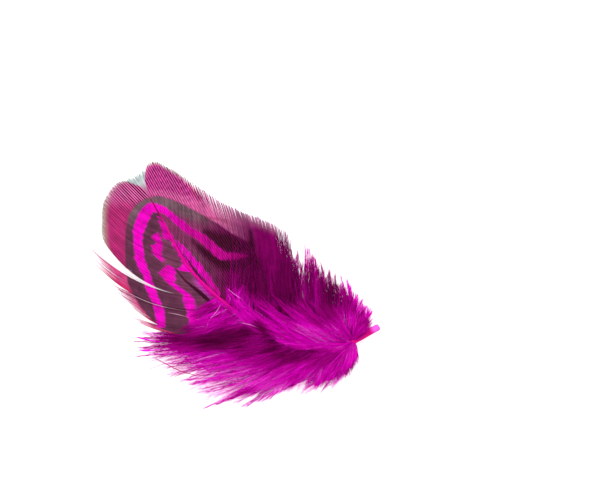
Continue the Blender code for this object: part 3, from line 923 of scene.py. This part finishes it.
def vane_mesh(guides, side, count, seed, opening, hatch, relief=0.5, ragged=0.02, edge=0.0):
    """Barbs of a vane as closed strips: web half width = half the spacing, times a share, times a rounded
    tip.

    The share falls from a little over 1 where the barbs part to 1 - gap near the tip, and grows towards the
    root. opening holds rows of the place in the fan, the share of a barb's length where it parts from its
    neighbours, and the gap. A web slopes sideways as the vane does: by the climb from one barb to the next,
    over the spacing.
    """
    random = np.random.default_rng(seed)
    places = np.linspace(0, 1, count)
    rows = np.asarray(opening)
    open_from = np.interp(places, rows[:, 0], rows[:, 1])[:, None]
    gap = np.interp(places, rows[:, 0], rows[:, 2])[:, None]
    ends = 1.0 + random.uniform(-ragged, ragged / 2, count)
    t = ROOT_INSIDE + (1 - ROOT_INSIDE) * np.linspace(0, 1, BARB_STATIONS)
    reach = t[None, :] * ends[:, None]
    line = barb_lines(guides, side, places, reach)
    run, sideways, _ = frames_along(line)
    step = np.gradient(line, axis=0)
    beside = (step * sideways).sum(-1)
    spacing = np.abs(beside)
    level = np.maximum((run[..., :2] ** 2).sum(-1), LEAST_RUN)
    climb = step[..., 2] - (step[..., :2] * run[..., :2]).sum(-1) * run[..., 2] / level
    slope = np.clip(climb * beside / np.maximum(beside**2, LEAST_SPACING), -1, 1)
    parting = np.clip((t - open_from) / (PARTED_BY - open_from), 0, 1)
    wander = random.uniform(-ASIDE, ASIDE, (count, 1)) * parting**2
    line += sideways * wander[..., None]
    share = 1 + OVERLAP - (gap + OVERLAP) * parting + ROOT_SPREAD * np.clip(1 - t / ROOT_RUN, 0, 1)
    tip = np.sqrt(np.clip((1 - t) / TIP_SHARE, BLUNT, 1))
    half = np.clip(spacing / 2, NARROWEST, WIDEST) * share * tip
    points = swept(line, BARB_SECTION * (1.0, relief), half, tilt=(slope * half)[..., None] + SHINGLE)
    points[..., 2] = np.maximum(points[..., 2], FLOOR_CLEAR)
    values = mark_values(points, random)
    values["reach"] = reach[..., None]
    values["edge"] = edge * places[:, None, None]
    values["web"] = np.abs(BARB_SECTION[:, 0])
    values["tone"] = random.uniform(0, 1, count)[:, None, None]
    jitter = random.uniform(-HATCH_JITTER, HATCH_JITTER, count)[:, None, None]
    values["phase"] = 2 * np.pi * (points[..., :2] @ np.array(hatch)) / WEAVE_STEP + jitter
    return strip_mesh("barbs", points, True, values)


left_barbs = vane_mesh(
    LEFT_VANE, LEFT, count=76, seed=3, opening=LEFT_OPENING, hatch=LEFT_HATCH, relief=0.3, ragged=0.008)
joined_piece("left_vane", [left_barbs], LEFT_FINISH)
right_barbs = vane_mesh(
    RIGHT_VANE, RIGHT, count=116, seed=4, opening=RIGHT_OPENING, hatch=RIGHT_HATCH, relief=0.5,
    ragged=0.010)
joined_piece("right_vane", [right_barbs], RIGHT_FINISH)
bundle_barbs = [
    vane_mesh(bundle, LEFT, count, 5 + k, BUNDLE_OPENING, LEFT_HATCH, relief=0.3, ragged=0.06, edge=1.0)
    for k, (bundle, count) in enumerate(zip(LEFT_BUNDLES, BUNDLE_COUNTS))]
joined_piece("loose_bundles", bundle_barbs, BUNDLE_FINISH)

# %% [markdown]
# ## Pale barbs in the notch
# Near the tip of the shaft, thin pale barbs fill the notch between the two vanes. They are vane barbs
# again, with a finish of their own.

# %% Barbs in the notch
NOTCH_BARBS = (
    (0.990, -17.9, 23.3, 0.5, 0.00, 0.02),
    (0.984, -19.1, 22.6, 0.4, 0.02, 0.02),
    (0.976, -20.7, 21.8, 0.3, 0.04, 0.02),
    (0.966, -23.0, 20.9, 0.2, 0.08, 0.02),
)
NOTCH_OPENING = ((0.0, 0.80, 0.30), (1.0, 0.80, 0.30))
THIN_CHANGE = (0.3, 0.8)


def thin_material(name, root, tip):
    """Thin single barbs, from one colour to another along them."""
    material, tree, shader = finish(name, roughness=0.75, specular=0.0)
    colour = colour_mix(tree, ramp_mask(tree, attribute(tree, "reach"), *THIN_CHANGE), root, tip)
    tree.links.new(toned(tree, colour, 0.5), shader.inputs["Base Color"])
    return material


notch_barbs = vane_mesh(
    NOTCH_BARBS, LEFT, count=26, seed=22, opening=NOTCH_OPENING, hatch=LEFT_HATCH, relief=0.5, ragged=0.05)
joined_piece("notch_barbs", [notch_barbs], thin_material("pale barbs", PINK, NOTCH_PALE))

# %% [markdown]
# ## Light and shade in the down
# The down isn't one colour: dark valleys and bright ridges run with the barbs. For the most part they are
# painted shade and painted light, and partly the dye's own darker and lighter places. Each is a curve with a
# half width, in millimetres, and says how much lighter or darker the barbs get on it. It fades out over 1.5
# times the curve's mean half width and a little more.

# %% Curves of light and shade
SHADE_BASE = 0.50
BRIGHTEST = 0.73
FADE_SHARE, FADE_MORE = 1.5, 0.3
# A negative amount paints shade and a positive one paints light, partly with the dye's own changes.
SHADES = (
    (-0.24, (
        (-13.5, -11.5, 0.7), (-9.1, -11.5, 0.8), (-4.1, -10.9, 0.9), (-0.1, -9.7, 0.9), (2.9, -9.3, 0.6))),
    (-0.16, ((-5.1, -12.3, 0.7), (-1.1, -11.9, 0.7))),
    (-0.14, ((0.9, -11.9, 0.6), (2.9, -11.7, 0.6))),
    (-0.40, ((5.1, -7.7, 0.3), (7.3, -9.5, 0.35), (8.5, -10.9, 0.2))),
    (-0.22, ((8.9, -12.7, 0.6), (10.9, -13.3, 0.7), (15.9, -13.5, 0.8), (19.9, -13.1, 0.6))),
    (-0.12, ((1.9, -14.5, 0.6), (5.9, -15.9, 0.6), (8.9, -16.5, 0.5))),
    (-0.22, ((-14.1, -7.7, 0.9), (-10.1, -8.1, 0.9))),
    (-0.16, ((1.9, 9.5, 1.2), (2.9, 4.7, 1.5), (3.9, -0.9, 1.2))),
    (-0.16, ((7.3, 9.1, 1.4), (7.9, 0.9, 1.4), (9.1, -1.9, 1.0))),
    (-0.14, ((10.9, 6.1, 1.2), (11.3, -2.3, 1.0))),
    (-0.10, ((12.5, 4.5, 1.6), (17.1, 1.1, 1.6), (21.1, -2.1, 1.2))),
    (-0.10, ((3.5, 8.1, 0.5), (3.9, 5.9, 0.8), (4.5, 3.9, 0.8))),
    (0.14, ((1.9, -15.9, 1.6), (8.9, -16.9, 1.8), (14.9, -17.5, 1.6))),
    (-0.16, ((18.5, -1.9, 0.8), (19.1, -3.9, 0.8))),
    (-0.20, ((21.9, -15.3, 0.4), (22.9, -14.5, 0.4))),
    (0.25, (
        (-1.5, -2.1, 0.9), (0.9, -2.9, 1.0), (3.9, -5.5, 1.1), (6.9, -7.3, 1.1), (10.9, -10.1, 1.1),
        (16.9, -10.9, 1.2), (21.9, -9.9, 1.2))),
    (0.12, ((0.9, -7.3, 0.6), (3.9, -7.3, 0.7))),
    (0.14, ((-5.1, -13.7, 0.6), (-2.7, -13.5, 0.6))),
    (0.12, ((-2.1, -14.5, 0.6), (0.9, -14.1, 0.6))),
    (0.16, ((15.9, -15.7, 0.8), (22.9, -13.5, 1.5), (21.9, -17.9, 1.2))),
    (0.26, ((21.5, 0.5, 0.5), (23.5, -1.5, 0.6), (24.5, -3.9, 0.6), (25.3, -6.1, 0.6), (26.1, -7.7, 0.6))),
    (0.12, ((13.5, -6.9, 0.6), (14.9, -7.9, 0.6))),
    (0.14, ((14.9, 9.1, 1.2), (12.9, 4.7, 1.0))),
    (0.18, ((-6.1, -17.1, 1.0), (0.9, -16.3, 1.4), (8.9, -19.1, 1.2))),
    (0.18, ((-12.1, -12.3, 0.7), (-7.1, -13.3, 0.9), (-2.1, -14.1, 1.2))),
    (0.10, ((-13.1, -5.9, 1.0), (-8.1, -5.9, 1.2), (-3.1, -6.9, 1.0))),
    (0.06, ((15.9, -10.9, 1.6), (20.9, -10.9, 1.6))),
)


def shade_at(points):
    """Base + the sum of amount x (1 - distance beyond the curve / fade), no share below 0 and no sum
    above the brightest, where fade = 1.5 x the curve's mean half width + 0.3."""
    places = points[..., :2].reshape(-1, 2)
    light = np.full(len(places), SHADE_BASE)
    for amount, curve in SHADES:
        fade = FADE_SHARE * np.mean([row[2] for row in curve]) + FADE_MORE
        light += amount * np.clip(1 - distance_to(places, curve, 2) / fade, 0, 1)
    return np.minimum(light, BRIGHTEST).reshape(points.shape[:-1])


print("curves of light and shade:", len(SHADES))

# %% [markdown]
# ## The down
# A downy barb is a thin thread with soft barbules on both sides, which sweep towards its tip. Barbs cling
# together in locks, and no two locks are alike. A lock here is a handful of barbs that start spread along
# the shaft, draw together and wave together. The lowest layers have broader ribbons, so that little floor
# shows through.

# %% Lines of the locks
DOWN_STATIONS = 25
LOCK_JITTER, LOCK_SPREAD = 0.3, 0.75
LOCK_LENGTHS, BARB_LENGTHS = (0.88, 1.02), (0.66, 1.0)
FIRST_REACH = 0.02
DRAW_TOGETHER = 1.3
GOLDEN = 0.618
LIFT_PACE, DROOP = 1.6, 0.4
LOCK_HEIGHTS, BARB_HEIGHTS = 0.9, 0.7
ARCH_FROM, ARCH_SPAN = 0.05, 0.9
LOCK_WAVES, BARB_WAVES = ((0.15, 0.70), (0.6, 1.3)), ((0.03, 0.20), (0.8, 1.8))
LOCK_TONES, BARB_TONES = 0.06, 0.09


def waved(line, random, sizes, turns):
    """How far lines move sideways: size x t x (sin(start + turns x 2 pi x t) - (1 - t) x sin(start)),
    with t from 0 to 1 along them. Each line has its own size, turns and start, the first two between the
    limits given."""
    lines = len(line)
    far = np.linspace(0, 1, line.shape[1])
    size = random.uniform(*sizes, (lines, 1))
    turn = random.uniform(*turns, (lines, 1))
    start = random.uniform(0, 2 * np.pi, (lines, 1))
    return size * far * (np.sin(start + turn * 2 * np.pi * far) - np.sin(start) * (1 - far))


def lock_barbs(guides, side, locks, each, kept, lift, seed, clumps=(0.35, 0.75)):
    """Lines of the barbs of a layer of locks, and each barb's own lightness. A barb is the fan's own
    barb beside the lock, drawn towards the lock's middle by clump x a power of t, lifted as the packed
    lock is, and waved. kept is the share of the fan's own length that the locks keep. The lift is
    reached after 1 / pace of the length and droops towards the tip."""
    random = np.random.default_rng(seed)
    middle = np.arange(locks) + 0.5 + random.uniform(-LOCK_JITTER, LOCK_JITTER, locks)
    middle = np.clip(middle / locks, 0, 1)
    beside = np.linspace(-LOCK_SPREAD, LOCK_SPREAD, each) / locks
    places = np.clip(middle[:, None] + beside, 0, 1).reshape(-1)
    far = np.linspace(0, 1, DOWN_STATIONS)
    own = kept * np.repeat(random.uniform(*LOCK_LENGTHS, locks), each)
    own = own * random.uniform(*BARB_LENGTHS, locks * each)
    reach = FIRST_REACH + (own[:, None] - FIRST_REACH) * far[None, :]
    line = barb_lines(guides, side, places, reach)
    lock = barb_lines(guides, side, np.repeat(middle, each), reach)
    clump = np.repeat(random.uniform(*clumps, locks), each)[:, None, None]
    pull = clump * far[None, :, None] ** DRAW_TOGETHER
    line = line * (1 - pull) + lock * pull
    change = (np.arange(locks) * GOLDEN) % 1
    line[..., 2] += lift * np.sin(np.pi / 2 * np.minimum(LIFT_PACE * far, 1)) * (1 - DROOP * far)
    line[..., 2] += np.repeat(change - 0.5, each)[:, None] * LOCK_HEIGHTS * far * (lift > 0)
    own_height = random.uniform(-BARB_HEIGHTS, BARB_HEIGHTS, locks * each)[:, None]
    line[..., 2] += own_height * np.sin(np.pi * np.minimum(far * ARCH_SPAN + ARCH_FROM, 1))
    _, sideways, _ = frames_along(line)
    together = np.repeat(waved(line[::each], random, *LOCK_WAVES), each, axis=0)
    line += sideways * (together + waved(line, random, *BARB_WAVES))[..., None]
    lightness = np.repeat(random.uniform(-LOCK_TONES, LOCK_TONES, locks), each)
    return line, lightness + random.uniform(-BARB_TONES, BARB_TONES, locks * each)


print("stations along a downy barb:", DOWN_STATIONS)

# %% [markdown]
# ## The barbules
# Each downy barb gets its barbules, a hundred thousand in all, as ribbons that lie close to its run, which
# is what makes down look silky. They stand a little denser towards the root, leave it on both sides at
# many tilts, and grow shorter towards both ends of the barb. A few are brighter than the rest: painted
# highlights, as glints on the silk.

# %% Ribbons of barbules
CROWDED = 1.25
RIBBON_STEPS, RIBBON_WIDTHS = (0.0, 0.35, 0.7, 1.0), (0.8, 1.0, 0.7, 0.15)
SWEEP_JITTER = 8
RIBBON_LENGTHS = (0.7, 1.25)
ENDS_SHARE, FULL_FROM, FULL_SPAN = 0.30, 0.15, 0.80
THINNER_TIP = 0.45
RIBBON_TONES = 0.05
GLINT_LIFT, GLINT_SHARE = 0.2, 0.015


def barbules(line, each, length, width, seed, tones, sweep, roll=60.0):
    """Ribbons that leave a barb on both sides: a straight start at the sweep angle, bent towards the barb's
    run.

    A ribbon's middle line is start + length x (s x out + s x s x (run - out) / 2), for s from 0 to 1. The
    sweep goes evenly from its first number at the barb's root to its second at the tip, in degrees.
    """
    random = np.random.default_rng(seed)
    barbs, stations = line.shape[:2]
    t = ((np.arange(each)[None, :] + random.uniform(0, 1, (barbs, each))) / each) ** CROWDED
    place = t * (stations - 1)
    before = np.minimum(place.astype(int), stations - 2)
    part = (place - before)[..., None]

    def read(field):
        """A field along the barbs, read where the ribbons start."""
        low = np.take_along_axis(field, before[..., None], axis=1)
        high = np.take_along_axis(field, before[..., None] + 1, axis=1)
        return low + (high - low) * part

    start, run, sideways, upward = (read(field) for field in (line, *frames_along(line)))
    hand = np.where(random.uniform(0, 1, t.shape) < 0.5, -1.0, 1.0)[..., None]
    jitter = random.uniform(-SWEEP_JITTER, SWEEP_JITTER, t.shape)
    angle = np.radians(sweep[0] + (sweep[1] - sweep[0]) * t + jitter)[..., None]
    turn = np.radians(random.uniform(-roll, roll, t.shape))[..., None]
    out = np.cos(angle) * run + np.sin(angle) * (np.cos(turn) * hand * sideways + np.sin(turn) * upward)
    fullness = ENDS_SHARE + (1 - ENDS_SHARE) * np.sin(np.pi * (FULL_FROM + FULL_SPAN * t))
    long = (length * fullness * random.uniform(*RIBBON_LENGTHS, t.shape))[..., None, None]
    s = np.array(RIBBON_STEPS)[:, None]
    middle = start[:, :, None] + long * (s * out[:, :, None] + 0.5 * s**2 * (run - out)[:, :, None])
    flat = unit(np.cross(out, unit(random.normal(size=out.shape))))[:, :, None]
    half = np.array(RIBBON_WIDTHS)[:, None] * width / 2 * (1 - THINNER_TIP * t[..., None, None])
    points = np.stack([middle - flat * half, middle + flat * half], axis=3).reshape(barbs * each, -1, 2, 3)
    points[..., 2] = np.maximum(points[..., 2], FLOOR_CLEAR)
    tone = read(tones[..., None])[..., 0] + random.uniform(-RIBBON_TONES, RIBBON_TONES, t.shape)
    # a few ribbons painted brighter, as highlights
    tone += GLINT_LIFT * (random.uniform(0, 1, t.shape) < GLINT_SHARE)
    values = {"tone": np.clip(tone, 0, 1).reshape(-1)[:, None, None]}
    return strip_mesh("barbules", points, False, values)


print("points along a ribbon:", len(RIBBON_STEPS))

# %% [markdown]
# ## Threads and pieces of down
# The barb's own thread is a three-sided rod, and thicker in the lowest layers with broad ribbons. A layer
# of locks and its ribbons make meshes, and the meshes of a few layers make a piece. The layers overlap:
# broad and dark below, fine and bright above, with a soft fringe at the edge and thin veils over the lower
# vane.

# %% Threads and plumes
THIN, THICK = 0.09, 0.34
FINE, MEDIUM, BROAD = 0.06, 0.10, 0.19
DOWN_CLEAR = 0.08
THREAD = circle(3) * (1.0, 0.048)
THREAD_THINS = 0.8


def thread_mesh(line, thick, tones):
    """The barbs' own threads: three-sided rods that thin towards the tip."""
    far = np.linspace(0, 1, line.shape[1])
    half = np.broadcast_to(thick / 2 * (1 - THREAD_THINS * far), line.shape[:2])
    points = swept(line, THREAD, half)
    points[..., 2] = np.maximum(points[..., 2], FLOOR_CLEAR)
    return strip_mesh("threads", points, True, {"tone": np.clip(tones, 0, 1)[..., None]})


def plumes(line, lightness, barbules_each, length, seed, width=FINE, root_shade=0.0, paler=0.0, sweep=(20, 8)):
    """The meshes of downy barbs: their threads and barbules, with the tone of the place they lie in. The tone
    is less at the root by painted shade, where the barbs lie under others, and more at the tip by paler,
    painted light that comes through the thin tips."""
    line[..., 2] = np.maximum(line[..., 2], DOWN_CLEAR)
    far = np.linspace(0, 1, line.shape[1])
    # painted shade at the root and painted light through the tip
    tones = shade_at(line) + lightness[:, None] - root_shade * (1 - far) + paler * far**2
    return [thread_mesh(line, THICK if width == BROAD else THIN, tones),
            barbules(line, barbules_each, length, width, seed + 50, tones, sweep)]


def down_piece(name, layers):
    """A piece of down. A layer's row holds its guides and side, the number of locks and of barbs in
    each, the share of the length kept, the lift, the least and most clumping, the seed, the ribbons on a
    barb and their length, and then what else plumes asks for, in its own order."""
    meshes = []
    for guides, side, locks, each, kept, lift, clumps, seed, ribbons, length, *looks in layers:
        line, lightness = lock_barbs(guides, side, locks, each, kept, lift, seed, clumps)
        meshes += plumes(line, lightness, ribbons, length, seed, *looks)
    return joined_piece(name, meshes, DOWN_FINISH)


print("barb threads:", THIN, "and", THICK, "mm")

# %% [markdown]
# ## The layers of down
# Both sides have their own fans from the guides above. The upper layers add smaller fans: a veil over the
# left vane's lower barbs, and on the right a rise beside the shaft, single strands, and barbs that loosen
# from the vane.

# %% Pieces of down
VEIL = (
    (0.600, -8.3, -4.1, 3.4, 0.10, 0.05),
    (0.570, -10.1, -6.1, 3.0, 0.12, 0.05),
    (0.530, -12.3, -8.1, 2.6, 0.14, 0.05),
    (0.480, -14.3, -9.3, 2.2, 0.16, 0.04),
)
RISE = (
    (0.560, -2.9, 2.3, 3.0, 0.10, 0.05),
    (0.500, 1.1, 4.1, 2.8, 0.10, 0.05),
    (0.420, 4.9, 5.9, 2.4, 0.10, 0.05),
    (0.340, 9.1, 7.1, 2.0, 0.10, 0.05),
    (0.270, 12.1, 5.1, 2.0, 0.08, 0.05),
)
STRANDS = (
    (0.440, 1.5, 9.5, 2.9, 0.08, 0.13),
    (0.400, 4.5, 10.5, 2.7, 0.08, 0.13),
    (0.350, 7.5, 10.3, 2.4, 0.08, 0.13),
    (0.300, 10.5, 9.3, 2.2, 0.08, 0.13),
    (0.250, 13.3, 7.3, 2.0, 0.06, 0.12),
)
LOOSENING = (
    (0.560, -1.5, 14.9, 1.6, 0.12, 0.10),
    (0.520, 0.1, 15.3, 1.4, 0.12, 0.08),
    (0.480, 1.5, 14.8, 1.2, 0.11, 0.08),
    (0.440, 3.1, 14.0, 1.0, 0.11, 0.06),
)
down_piece("left_down_under", [
    (LEFT_DOWN, LEFT, 17, 9, 1.04, 0.0, (0.1, 0.5), 11, 66, 3.2, BROAD, 0.12, 0.14, (24, 13)),
    (LEFT_DOWN[:6], LEFT, 7, 9, 0.82, 0.4, (0.0, 0.3), 20, 44, 3.2, BROAD, 0.12, 0.02, (24, 13)),
    (LEFT_DOWN[:5], LEFT, 6, 8, 0.95, 0.0, (0.0, 0.2), 28, 36, 2.8, MEDIUM, 0.0, 0.34, (24, 14)),
    (LEFT_DOWN[1:5], LEFT, 7, 9, 0.98, 0.2, (0.1, 0.45), 25, 60, 2.8, MEDIUM, 0.06, 0.16, (20, 9))])
down_piece("left_down_fringe", [
    (LEFT_DOWN[4:9], LEFT, 7, 10, 1.06, 0.2, (0.0, 0.2), 23, 110, 3.0, FINE, 0.0, 0.44, (34, 20)),
    (LEFT_DOWN[9:], LEFT, 5, 8, 1.12, 0.2, (0.0, 0.4), 26, 80, 2.6, FINE, 0.0, 0.20, (30, 20)),
    (LEFT_DOWN[:5], LEFT, 6, 9, 1.0, 0.1, (0.0, 0.15), 27, 90, 2.8, FINE, 0.0, 0.24, (30, 16))])
down_piece("left_down_over", [
    (LEFT_DOWN, LEFT, 14, 10, 0.88, 3.2, (0.15, 0.55), 12, 120, 3.2, FINE, 0.0, 0.10),
    (VEIL, LEFT, 5, 9, 1.0, 0.6, (0.1, 0.4), 17, 70, 2.4, FINE, -0.10, 0.0)])
down_piece("right_down_under", [
    (RIGHT_DOWN, RIGHT, 13, 11, 1.02, 0.0, (0.0, 0.3), 13, 70, 3.0, BROAD, 0.12, 0.10, (22, 12))])
down_piece("right_down_over", [
    (RIGHT_DOWN[2:], RIGHT, 10, 9, 0.92, 2.6, (0.1, 0.45), 14, 120, 3.0, FINE, 0.0, 0.0, (16, 7)),
    (RISE, RIGHT, 9, 8, 1.0, 0.4, (0.1, 0.4), 19, 60, 1.8, FINE, 0.06, -0.22),
    (STRANDS, RIGHT, 10, 6, 1.0, 0.3, (0.2, 0.7), 24, 44, 1.8, FINE, 0.10, 0.0, (14, 6)),
    (LOOSENING, RIGHT, 5, 7, 0.96, 0.3, (0.0, 0.3), 29, 26, 1.6, FINE, 0.10, -0.06, (14, 6))])

# %% [markdown]
# ## Down over the shaft
# From the quill a bright ridge of down lies along the shaft and hides it. One fan of locks makes its upper
# side, and more barbs run along the shaft itself: each follows the shaft's line, beside it and a little
# above it.

# %% Ridge of down
COVER_BARBS = 44
COVER_FROM, COVER_TO = 0.095, 0.33
COVER_SPANS, COVER_ASIDE = (0.09, 0.16), (-0.9, 1.4)
COVER_ABOVE, COVER_HEIGHTS = 0.2, (1.0, 1.8)
COVER_WAVES = (0.0, 0.3), (0.5, 1.5)
ASIDE_POWER = 0.8


def cover_barbs(seed):
    """Lines that follow the shaft: its own line over a random span, moved sideways and up by growing
    amounts."""
    random = np.random.default_rng(seed)
    far = np.linspace(0, 1, DOWN_STATIONS)
    start = np.linspace(COVER_FROM, COVER_TO, COVER_BARBS)
    span = random.uniform(*COVER_SPANS, COVER_BARBS)
    runs = start[:, None] + span[:, None] * far[None, :]
    line = shaft_at(runs)[..., :3]
    _, sideways, _ = frames_along(line)
    aside = random.uniform(*COVER_ASIDE, COVER_BARBS)[:, None] * far**ASIDE_POWER
    line += sideways * (aside + waved(line, random, *COVER_WAVES))[..., None]
    line[..., 2] += COVER_ABOVE + random.uniform(*COVER_HEIGHTS, COVER_BARBS)[:, None] * np.sqrt(far)
    return line, random.uniform(-BARB_TONES, BARB_TONES, COVER_BARBS)


ridge_line, ridge_light = lock_barbs(RIDGE_DOWN, LEFT, locks=11, each=10, kept=1.00, lift=0.8, seed=15)
cover_line, cover_light = cover_barbs(seed=16)
ridge_meshes = plumes(ridge_line, ridge_light, barbules_each=110, length=2.4, seed=15)
ridge_meshes += plumes(cover_line, cover_light, barbules_each=120, length=2.0, seed=16)
joined_piece("ridge_down", ridge_meshes, DOWN_FINISH)

# %% [markdown]
# ## Single hairs
# A few single barbs and threads lie across the others and stand out at the left edge. Each is a short curve
# of points in millimetres, with its thickness. A hair's row starts with its tone.

# %% Hairs
HAIRS = (
    (0.95, 0.11, (
        (-2.7, -3.5, 5.4), (-3.5, -4.9, 5.2), (-5.1, -6.9, 4.8), (-5.7, -8.5, 4.5), (-6.5, -9.7, 4.0))),
    (0.92, 0.10, ((-1.3, -0.5, 6.6), (0.1, -1.7, 6.7), (1.7, -2.7, 6.6))),
    (0.95, 0.12, ((1.1, -7.2, 6.2), (3.5, -7.8, 6.4), (6.1, -9.0, 6.3))),
    (0.85, 0.12, ((-20.5, -8.7, 0.5), (-17.1, -9.3, 0.8), (-14.1, -9.5, 1.2), (-9.1, -9.5, 2.0))),
    (0.85, 0.12, ((-20.1, -9.5, 0.5), (-16.1, -10.0, 0.8), (-13.1, -10.1, 1.2), (-8.1, -10.1, 2.0))),
    (0.78, 0.36, ((-19.7, -10.4, 0.5), (-18.5, -10.6, 0.8), (-17.1, -10.9, 1.1), (-13.5, -11.3, 1.6))),
    (0.78, 0.36, ((-19.3, -13.0, 0.5), (-18.1, -13.0, 0.8), (-16.5, -12.9, 1.1), (-13.5, -12.5, 1.6))),
    (0.80, 0.12, ((-18.9, -14.1, 0.4), (-16.9, -13.7, 0.7), (-13.9, -13.1, 1.1))),
    (0.82, 0.14, ((-18.5, -17.2, 0.4), (-16.3, -16.4, 0.7), (-14.1, -15.6, 1.0), (-10.1, -14.5, 1.5))),
    (0.86, 0.13, ((-18.3, -15.5, 0.4), (-15.9, -14.8, 0.8), (-12.1, -14.0, 1.4))),
)
PALE_BARBS = (
    (0.12, (
        (-24.7, 0.2, 0.8), (-21.5, -1.4, 2.1), (-17.1, -3.3, 3.2), (-13.5, -4.3, 3.8), (-9.1, -5.1, 4.1))),
    (0.09, ((-29.3, 7.9, 0.6), (-26.1, 5.9, 1.9), (-22.1, 3.7, 3.0), (-17.1, 1.3, 3.9))),
    (0.08, ((-26.1, 5.3, 1.9), (-22.1, 2.7, 3.0), (-18.1, 0.5, 3.7), (-15.1, -0.7, 4.0))),
    (0.10, ((-13.5, -5.3, 3.7), (-11.3, -5.7, 3.9), (-9.1, -6.3, 4.1))),
)
STRAY_BARB = (
    (-17.1, -13.9, 0.8), (-14.1, -15.5, 1.3), (-10.5, -17.2, 1.5), (-7.1, -17.9, 1.5), (-3.9, -17.7, 1.5))
HAIR_STATIONS, HAIR_SIDES, HAIR_END, HAIR_POWER = 40, 5, 0.12, 0.8


def hair_mesh(points, thick, tone):
    """A round thread along a smooth curve, fullest a little before its middle: half x sin(pi x t to the
    power 0.8)."""
    far = np.linspace(0, 1, HAIR_STATIONS)
    line = along(points, far)[None]
    half = thick / 2 * np.clip(np.sin(np.pi * far**HAIR_POWER), HAIR_END, 1)[None]
    around = swept(line, circle(HAIR_SIDES) * (1.0, thick / 2), half)
    values = {"tone": tone, "phase": 0.0, "reach": np.sin(np.pi * far)[None, :, None]}
    return strip_mesh("hair", around, True, values)


joined_piece("single_hairs", [hair_mesh(points, thick, tone) for tone, thick, points in HAIRS], DOWN_FINISH)
stray_mesh = hair_mesh(STRAY_BARB, thick=0.22, tone=0.5)
joined_piece("stray_barb", [stray_mesh], thin_material("stray barb", HAIR_TAUPE, CRIMSON_PALE))
pale_meshes = [hair_mesh(points, thick, tone=0.5) for thick, points in PALE_BARBS]
joined_piece("pale_barbs", pale_meshes, thin_material("pale edges", MARGIN_PINK, PALE_EDGE))

# %% [markdown]
# ## Floor and light
# The photo's white ground is lit so evenly that no shadow shows. A pale floor that glows a little, under a
# bright even sky, does that, and one broad lamp from the upper left gives the down a little form.

# %% Studio
FLOOR_HALF = 1.5
FLOOR_DROP = 0.0001
FLOOR_GREY, FLOOR_GLOW = 0.65, 0.6
SKY_STRENGTH = 1.08
LAMP_SIZE, LAMP_POWER, LAMP_PLACE = 0.5, 3.4, (-0.20, 0.25, 0.60)
WHITE = (1, 1, 1, 1)


def studio():
    """A pale floor just under the feather, an even white sky and a broad lamp that looks at the feather."""
    mesh = bpy.data.meshes.new("floor")
    corners = np.array([(-1, -1), (1, -1), (1, 1), (-1, 1)]) * FLOOR_HALF
    mesh.from_pydata([(x, y, -FLOOR_DROP) for x, y in corners], [], [(0, 1, 2, 3)])
    floor = bpy.data.objects.new("floor", mesh)
    bpy.context.scene.collection.objects.link(floor)
    material, _, shader = finish("pale floor", roughness=0.9, specular=0.0)
    shader.inputs["Base Color"].default_value = (FLOOR_GREY, FLOOR_GREY, FLOOR_GREY, 1)
    shader.inputs["Emission Color"].default_value = WHITE
    shader.inputs["Emission Strength"].default_value = FLOOR_GLOW
    mesh.materials.append(material)
    world = bpy.data.worlds.new("even sky")
    world.use_nodes = True
    world.node_tree.nodes["Background"].inputs["Color"].default_value = WHITE
    world.node_tree.nodes["Background"].inputs["Strength"].default_value = SKY_STRENGTH
    bpy.context.scene.world = world
    data = bpy.data.lights.new("broad lamp", "AREA")
    data.shape = "DISK"
    data.size = LAMP_SIZE
    data.energy = LAMP_POWER
    lamp = bpy.data.objects.new("broad lamp", data)
    lamp.location = LAMP_PLACE
    lamp.rotation_euler = (-lamp.location).to_track_quat("-Z", "Y").to_euler()
    bpy.context.scene.collection.objects.link(lamp)
    bpy.context.scene.view_settings.view_transform = "Standard"


studio()
print("floor half", FLOOR_HALF, "m, sky", SKY_STRENGTH, "and lamp", LAMP_POWER, "W")
